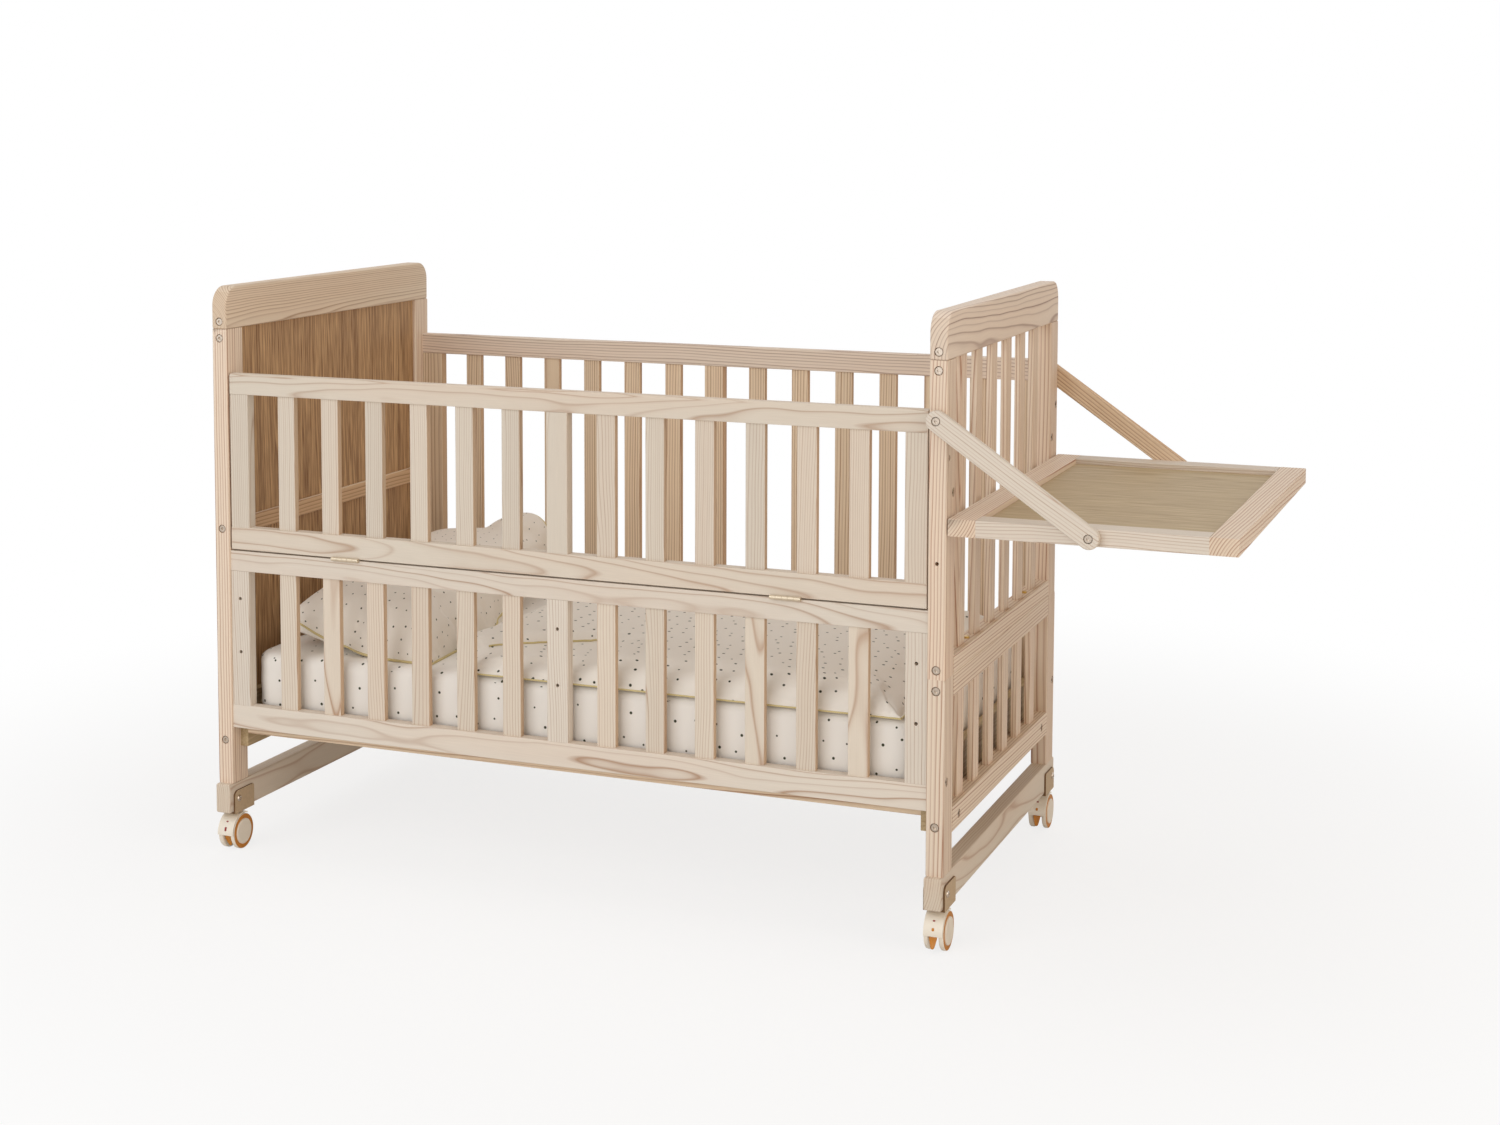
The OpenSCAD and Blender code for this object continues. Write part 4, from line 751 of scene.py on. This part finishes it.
def stacked(rows, count):
    """Faces that join rows of count points and close both ends."""
    faces = [(count * j + k, count * j + (k + 1) % count, count * (j + 1) + (k + 1) % count,
              count * (j + 1) + k) for j in range(rows - 1) for k in range(count)]
    return faces + [tuple(range(count)), tuple(range(count * (rows - 1), count * rows))]


for name in CORNERS:
    pin = wheel_middle(name) + Vector((0, -PIN_BACK, PIN_UP)) * MM
    # The front left brake is on, as in the photograph.
    tip = math.radians(PRESSED if name == "lf" else 0)
    points = []
    for z, front, back, half in TONGUE:
        for c, d in oblong(AROUND, 0.6):
            y = (front + back) / 2 + (back - front) / 2 * d
            if d < -0.9 and -20 < z < -7:
                y += 1.2  # hollowed in front like the real tongue
            points.append(pin + Vector((half * c, y * math.cos(tip) - z * math.sin(tip),
                                        y * math.sin(tip) + z * math.cos(tip))) * MM)
    plastic_piece("brake_pedal_" + name, points, stacked(len(TONGUE), AROUND), ORANGE,
                  "pedal_" + name, "pedal_plastic", "castor_pedal_" + name, sharp_from=60)
print("pedals:", len(CORNERS))

# %% Hoods
# The window and the mark lie on the hood's curved front, just proud of it.
MARK_W, WINDOW_AT, MARK_AT = 3.8, 17.5, 40.0  # mm, and degrees above the axle
PRINT_ROUND = 20
for name in CORNERS:
    finish_nodes(CREAM, "castor_hood_" + name)
    middle = wheel_middle(name)
    hood_r = middle.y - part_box("castor_hood_" + name)[0].y
    window = (RED, 7.0) if name == "lf" else (ORANGE, 4.8)
    for label, (material, tall), place in (("window", window, WINDOW_AT), ("mark", (RED, 2.4), MARK_AT)):
        points = []
        for shrink, out in ((0.0, -0.3), (0.0, 0.25), (0.5, 0.45)):
            for c, d in oblong(PRINT_ROUND, 0.5):
                a = math.radians(place) + (tall / 2 - shrink) * d * MM / hood_r
                r = hood_r + out * MM
                points.append(Vector((middle.x + (MARK_W / 2 - shrink) * c * MM,
                                      middle.y - r * math.cos(a), middle.z + r * math.sin(a))))
        plastic_piece(f"hood_{label}_{name}", points, stacked(3, PRINT_ROUND), material,
                      "castor_" + name, "pedal_plastic", sharp_from=60)
print("hoods:", len(CORNERS))

# %% [markdown]
# ## Bedding
# A mattress in a fitted cover, a pillow that leans against the back panel, and a light quilt
# folded in two. All are white cotton with a scatter of small dots, and the pillow and quilt have
# an olive piping in their seams. Dots printed on cloth follow the cloth and not the room. Instead
# of unwrapping it, each soft mesh stores "cloth", the place on the flat cloth in metres, and the
# print reads that. The weave is plain. Real threads lie 0.3 mm apart, too fine to show here, so
# they are drawn 1.2 mm apart.

# %% Cotton
THREAD = 1.2 * MM
WAVE = 0.314  # a wave texture of this scale repeats once in each unit


def cotton(name, base, dot, pitch_mm, dot_mm, share=1.0):
    """Plain-woven cotton with a scatter of printed dots, about one every pitch_mm."""
    material, add = new_material(name)
    place = add("Attribute", attribute_name="cloth").outputs["Vector"]
    cells = add("TexVoronoi", {"Vector": place, "Scale": 1 / (pitch_mm * MM),
                                     "Randomness": 0.55}, voronoi_dimensions="2D")
    radius = dot_mm / pitch_mm / 2
    uneven = add("SeparateXYZ", cells.outputs["Color"])
    size = add("MapRange", uneven.outputs["X"], 0, 1, radius * 0.8, radius * 1.25)
    inside = add("Math", size, cells, operation="SUBTRACT")
    dots = add("MapRange", inside, -0.15 * radius, 0.15 * radius, 0.0, share)
    coloured = add("Mix", {"Factor": dots, "A": rgb(base), "B": rgb(dot)}, data_type="RGBA")
    threads = [add("TexWave", {"Vector": place, "Scale": WAVE / THREAD, "Distortion": 0.6,
                                     "Detail Scale": 2.0}, bands_direction=way).outputs["Fac"]
               for way in "XY"]
    weave = add("Math", threads[0], threads[1], operation="MAXIMUM")
    bump = add("Bump", {"Height": weave, "Strength": 0.35, "Distance": 0.15 * MM})
    surface(add, Base_Color=coloured.outputs["Result"], Roughness=0.88, Sheen_Weight=0.12,
            Sheen_Roughness=0.5, IOR=1.5, Normal=bump)
    return material


COTTON_PILLOW = cotton("cotton_small_dots", "#F0E9DF", "#3E3C2A", pitch_mm=24.0, dot_mm=2.9, share=0.95)
COTTON_QUILT = cotton("cotton_olive_dots", "#F1EBE2", "#2A2C1A", pitch_mm=29.0, dot_mm=4.4)
COTTON_COVER = cotton("cotton_cover_dots", "#F1ECE5", "#3A3C28", pitch_mm=38.0, dot_mm=3.9)
print("cotton: three prints, threads", THREAD, "m apart")

# %% Piping cotton
RIB = 1.5 * MM


def twill(name, colour, shade):
    """Bias-cut cotton wound round a cord: fine slanted ribs, whose grooves take the darker colour as
    painted shade.
    """
    material, add = new_material(name)
    place = add("TexCoord").outputs["Object"]
    ribs = add("TexWave", {"Vector": place, "Scale": WAVE / RIB, "Distortion": 1.5},
               bands_direction="DIAGONAL").outputs["Fac"]
    wear = add("TexNoise", {"Vector": place, "Scale": 60.0, "Detail": 2.0})
    both = add("Math", ribs, wear, operation="MULTIPLY")
    # Where the ribs sink the colour turns to the shade colour, as painted shade; the random patches vary
    # it further.
    coloured = add("Mix", {"Factor": both, "A": rgb(shade), "B": rgb(colour)}, data_type="RGBA")
    bump = add("Bump", {"Height": ribs, "Strength": 0.3, "Distance": 0.2 * MM})
    surface(add, Base_Color=coloured.outputs["Result"], Roughness=0.8, Sheen_Weight=0.1,
            Sheen_Roughness=0.5, IOR=1.5, Normal=bump)
    return material


PIPING = twill("cotton_twill_olive", "#E6DAAF", "#C9B67C")
print("piping cotton: ribs", RIB, "m apart")

# %% [markdown]
# ## How a pad is made
# A pillow is two sheets of cloth sewn together along one seam and stuffed. It could be sculpted,
# but wrinkles come truer from a simulation. So a pad starts as two grids that share the vertices
# of their seam, near which the cells are small, because the form turns fastest there. Blender's
# cloth simulation blows in a little air while the underside stays on the mattress. The cloth is 3
# or 4% longer than the form, and the spare length wrinkles. A cap keeps each point near its place.

# %% Pad helpers
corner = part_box("head_stiles")[0]
BEDDING_Z = 345.6  # mm above the floor, on top of the mattress


def at(x, y, z):
    """A point given in mm from the head end's outer face and the posts' front face."""
    return Vector((corner.x + x * MM, corner.y + y * MM, z * MM))


def ease(t):
    t = min(1.0, max(0.0, t))
    return t * t * (3 - 2 * t)


def cloth_lengths(grid):
    """Distances along a row of points from its middle, so that a print isn't stretched."""
    middle = len(grid) // 2
    lengths = [0.0] * len(grid)
    for i in range(middle, len(grid) - 1):
        lengths[i + 1] = lengths[i] + (grid[i + 1] - grid[i]).length
    for i in range(middle, 0, -1):
        lengths[i - 1] = lengths[i] - (grid[i - 1] - grid[i]).length
    return lengths


def pad_mesh(name, cols, rows, top, bottom):
    """A closed pad and its seam's vertices, from two functions of (u, v), which run from -1 to 1."""
    us = [-math.cos(math.pi * i / cols) for i in range(cols + 1)]
    vs = [-math.cos(math.pi * j / rows) for j in range(rows + 1)]
    points, cloth, faces, sheets = [], [], [], []
    for form in (top, bottom):
        grid = [[form(u, v) for v in vs] for u in us]
        along = [cloth_lengths([grid[i][j] for i in range(cols + 1)]) for j in range(rows + 1)]
        across = [cloth_lengths(grid[i]) for i in range(cols + 1)]
        ids = {}
        for i in range(cols + 1):
            for j in range(rows + 1):
                if sheets and (i in (0, cols) or j in (0, rows)):
                    ids[i, j] = sheets[0][i, j]
                    continue
                ids[i, j] = len(points)
                points.append(grid[i][j])
                cloth.append((along[j][i], across[i][j] + (1.0 if sheets else 0.0), 0))
        sheets.append(ids)
        for i in range(cols):
            for j in range(rows):
                cell = [ids[i, j], ids[i + 1, j], ids[i + 1, j + 1], ids[i, j + 1]]
                faces.append(cell if form is top else cell[::-1])
    mesh = bpy.data.meshes.new(name)
    mesh.from_pydata(points, [], faces)
    layer = mesh.attributes.new("cloth", "FLOAT_VECTOR", "POINT")
    layer.data.foreach_set("vector", [c for p in cloth for c in p])
    ids = sheets[0]
    seam = ([ids[i, 0] for i in range(cols)] + [ids[cols, j] for j in range(rows)]
            + [ids[i, rows] for i in range(cols, 0, -1)] + [ids[0, j] for j in range(rows, 0, -1)])
    return mesh, seam


print("crib corner:", [round(c, 4) for c in corner])

# %% Cloth simulation
FRAMES = 20
RESTING = 1.5 * MM  # what lies this close to the mattress stays there
FABRIC = {"quality": 6, "mass": 0.25, "tension_stiffness": 14, "compression_stiffness": 14,
          "shear_stiffness": 6, "bending_stiffness": 0.4, "use_pressure": True}


def blow_up(piece, pressure, cap_mm, spare):
    """Lets a little air into a pad, by simulation, and keeps the result in its mesh."""
    mesh = piece.data
    rest = [v.co.copy() for v in mesh.vertices]
    low = BEDDING_Z * MM
    held = piece.vertex_groups.new(name="resting")
    held.add([i for i, p in enumerate(rest) if p.z < low + RESTING], 1.0, "REPLACE")
    air = piece.modifiers.new("air", "CLOTH")
    for setting, value in FABRIC.items():
        setattr(air.settings, setting, value)
    air.settings.uniform_pressure_force = pressure
    air.settings.shrink_min = -spare
    air.settings.vertex_group_mass = "resting"
    air.settings.effector_weights.gravity = 0
    air.point_cache.frame_end = FRAMES
    scene = bpy.context.scene
    for step in range(1, FRAMES + 1):
        scene.frame_set(step)
    shaped = piece.evaluated_get(bpy.context.evaluated_depsgraph_get()).data
    moved = [v.co.copy() for v in shaped.vertices]
    piece.modifiers.remove(air)
    piece.vertex_groups.clear()
    scene.frame_set(1)
    most = 0.0
    for vert, start, end in zip(mesh.vertices, rest, moved):
        way = end - start
        most = max(most, way.length)
        if way.length > cap_mm * MM:
            way *= cap_mm * MM / way.length
        place = start + way
        place.z = max(place.z, low)
        vert.co = place
    mesh.update()
    print(f"{piece.name}: moved by up to {most / MM:.1f} mm, capped at {cap_mm} mm")


print("cloth simulation:", FRAMES, "frames for each pad")

# %% Soft pieces and their piping
def soft_piece(name, mesh, material, slot, node):
    """Puts a soft mesh in the scene, in place of its packed form."""
    for face in mesh.polygons:
        face.use_smooth = True
    piece = add_piece(name, mesh, [material], "frame", slot, node)
    return piece


def soften(piece):
    """Subdivides once, after the simulation."""
    smooth = piece.modifiers.new("smooth", "SUBSURF")
    smooth.levels = smooth.render_levels = 1


def piping(name, points, across_mm, closed=True):
    """A round piping cord along a seam."""
    curve = bpy.data.curves.new(name, "CURVE")
    curve.dimensions = "3D"
    curve.bevel_depth = across_mm / 2 * MM
    curve.bevel_resolution = 3
    line = curve.splines.new("POLY")
    line.points.add(len(points) - 1)
    for point, place in zip(line.points, points):
        point.co = (*place, 1)
    line.use_cyclic_u = closed
    add_piece(name, curve, [PIPING], "frame", "bedding_fabric")
    print(f"{name}: {len(points)} points")


print("soft pieces ready")

# %% [markdown]
# ## Mattress
# A foam block in a fitted cover. Foam keeps its shape, so this one isn't simulated: the packed
# form gets an even mesh by remeshing, and the cover's looseness comes as shallow dents, always
# inwards, where the cloth is pulled round the sides.

# %% Mattress cover
VOXEL, DENT, SOFT_EDGE = 9.0 * MM, 2.2 * MM, 30 * MM
SIDE_FROM = (0.55, 0.30)  # metres from the middle: beyond them a point lies on an end or a side


def even_copy(node):
    """A copy of a packed form with an even mesh."""
    stand_in = put("remesh_" + node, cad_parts[node].data.copy())
    remesh = stand_in.modifiers.new("even", "REMESH")
    remesh.mode, remesh.voxel_size = "VOXEL", VOXEL
    mesh = bpy.data.meshes.new_from_object(stand_in.evaluated_get(bpy.context.evaluated_depsgraph_get()))
    bpy.data.objects.remove(stand_in)
    mesh.name = node
    mesh.materials.clear()
    return mesh


def box_cloth(mesh):
    """Stores each face's place on the cloth, as if a box had been wrapped."""
    layer = mesh.attributes.new("cloth", "FLOAT_VECTOR", "CORNER")
    for face in mesh.polygons:
        n = [abs(c) for c in face.normal]
        pick = (0, 1) if n[2] >= max(n[0], n[1]) else ((1, 2) if n[0] > n[1] else (0, 2))
        for loop in face.loop_indices:
            co = mesh.vertices[mesh.loops[loop].vertex_index].co
            layer.data[loop].vector = (co[pick[0]], co[pick[1]] + pick[0] + 2 * pick[1], 0)

mesh = even_copy("mattress")
low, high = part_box("mattress")
for vert in mesh.vertices:
    spot = vert.co
    dent = noise.noise(spot * 9.0) * 0.5 + 0.5 + 0.5 * noise.noise(spot * Vector((6, 6, 30)))
    inside = min(1.0, min(abs(spot.z - high.z), abs(spot.z - low.z)) / SOFT_EDGE)
    to_middle = (low + high) / 2 - spot
    pull = Vector([math.copysign(1, to_middle[i]) if abs(to_middle[i]) > SIDE_FROM[i] else 0
                   for i in (0, 1)] + [0])
    vert.co = spot + pull * max(0.0, dent) * DENT * (0.4 + 0.6 * inside)
box_cloth(mesh)
soft_piece("mattress_cover", mesh, COTTON_COVER, "mattress_cover", "mattress")
print("mattress cover:", len(mesh.polygons), "faces")

# %% [markdown]
# ## Pillow
# The pillow lies with its near edge on the mattress, and its far side stands up against the back
# panel, where one corner sticks up as an ear. A flat cushion could be bent into that place. It is
# simpler to let its seam's height set the lean, and to bulge the two sheets away from it.

# %% Pillow form
PILLOW_W, PILLOW_L, PILLOW_T = 284.0, 582.0, 130.0
PILLOW_X, PILLOW_Y = 96.0, 58.0
EAR_AT = 0.75  # where the far end is highest, from the head side


def pillow_plan(u, v):
    s, t = (1 + u) / 2, (1 + v) / 2
    x0 = PILLOW_X - 16 * t + 8 * (1 - v * v)
    x1 = PILLOW_X + PILLOW_W - 16 * t - 37 * t ** 1.5
    y0, y1 = PILLOW_Y + 10 * (1 - s), PILLOW_Y + PILLOW_L - 10 * (1 - u * u)
    return x0 + (x1 - x0) * s, y0 + (y1 - y0) * t


def pillow_seam(u, v):
    s, t = (1 + u) / 2, (1 + v) / 2
    ear = ease(s / EAR_AT) * math.sqrt(1 - max(0.0, (s - EAR_AT) / (1 - EAR_AT)) ** 2)
    return (BEDDING_Z + 1 + 52 * (1 - s) ** 4 * (1 - t) ** 2 + 50 * (1 - s) * t
            + 90 * s * max(0.0, (t - 0.4) / 0.6) ** 1.3 + 78 * t ** 4 * ear)


def puff(u, v, power=6):
    return math.sqrt(max(0.0, (1 - u ** power) * (1 - v ** power)))


def pillow_top(u, v):
    seam = pillow_seam(u, v)
    lift = max(20.0, BEDDING_Z + PILLOW_T - 34 * (1 - v) / 2 - seam)
    return at(*pillow_plan(u, v), seam + lift * puff(u, v))


def pillow_bottom(u, v):
    p = puff(u, v)
    under = BEDDING_Z + 26 * ((1 - u) * (1 - v) / 4) ** 3
    return at(*pillow_plan(u * (1 - 0.14 * p), v * (1 - 0.14 * p / 3)),
              max(under, pillow_seam(u, v) - 90 * p))


mesh, seam = pad_mesh("pillow_stuffed", 56, 84, pillow_top, pillow_bottom)
pillow = soft_piece("pillow_stuffed", mesh, COTTON_PILLOW, "bedding_fabric", "pillow")
blow_up(pillow, pressure=4.0, cap_mm=9.0, spare=0.04)
soften(pillow)
piping("pillow_piping", [mesh.vertices[i].co for i in seam], 4.4)
# %% [markdown]
# ## Quilt
# The quilt is folded in two. Its lower half reaches to the gate side, and the upper half ends
# behind it in a piped edge, turned back a little near the pillow. Each half could be a pad, but
# wadding this thin lies as one, so the form is one low pad with a step, and little air.

# %% Quilt form
QUILT_END, QUILT_L, QUILT_T = 1203.0, 750.0, 42.0
QUILT_Y0, QUILT_Y1 = 30.0, 662.0
QUILT_X0 = QUILT_END - QUILT_L
SEAM_H = 1.5


def upper_edge(x):
    """Where the turned-back upper half ends, in mm from the gate side."""
    return QUILT_Y0 + 80 + 115 * min(1.0, max(0.0, (x - QUILT_X0) / 155))


def quilt_plan(u, v):
    y = QUILT_Y0 + (QUILT_Y1 - QUILT_Y0) * (1 + v) / 2
    x0 = QUILT_X0 - 66 * ease((y - QUILT_Y0) / 134)
    return x0 + (QUILT_END - x0) * (1 + u) / 2, y


def quilt_edge(u, v):
    return math.sqrt(max(0.0, (1 - u ** 16) * (1 - v ** 24)))


def quilt_top(u, v):
    x, y = quilt_plan(u, v)
    upper = 0.5 + 0.5 * max(ease((y - upper_edge(x) + 6) / 12), ease((x - QUILT_X0 - 147) / 130))
    ripple = 2.5 * (1 + math.sin(math.radians(300 * u + 80 * v)))
    height = (QUILT_T - 5) * upper + ripple
    return at(x, y, BEDDING_Z + SEAM_H + (height - SEAM_H) * quilt_edge(u, v))


def quilt_bottom(u, v):
    return at(*quilt_plan(u, v), max(BEDDING_Z, BEDDING_Z + SEAM_H * (1 - 2 * quilt_edge(u, v))))


mesh, seam = pad_mesh("quilt_folded", 110, 90, quilt_top, quilt_bottom)
quilt = soft_piece("quilt_folded", mesh, COTTON_QUILT, "bedding_fabric", "quilt")
blow_up(quilt, pressure=2.0, cap_mm=5.0, spare=0.03)
soften(quilt)
piping("quilt_piping", [mesh.vertices[i].co for i in seam], 2.8)

# %% The upper half's piped edge
edge_points = []
for i in range(29):
    x = QUILT_X0 + 10 + i * 6.6
    place = quilt.closest_point_on_mesh(at(x, upper_edge(x) - 6, BEDDING_Z + QUILT_T * 0.55))[1]
    edge_points.append(place + Vector((0, -0.5, 1.2)) * MM)
piping("quilt_upper_piping", edge_points, 3.2, closed=False)
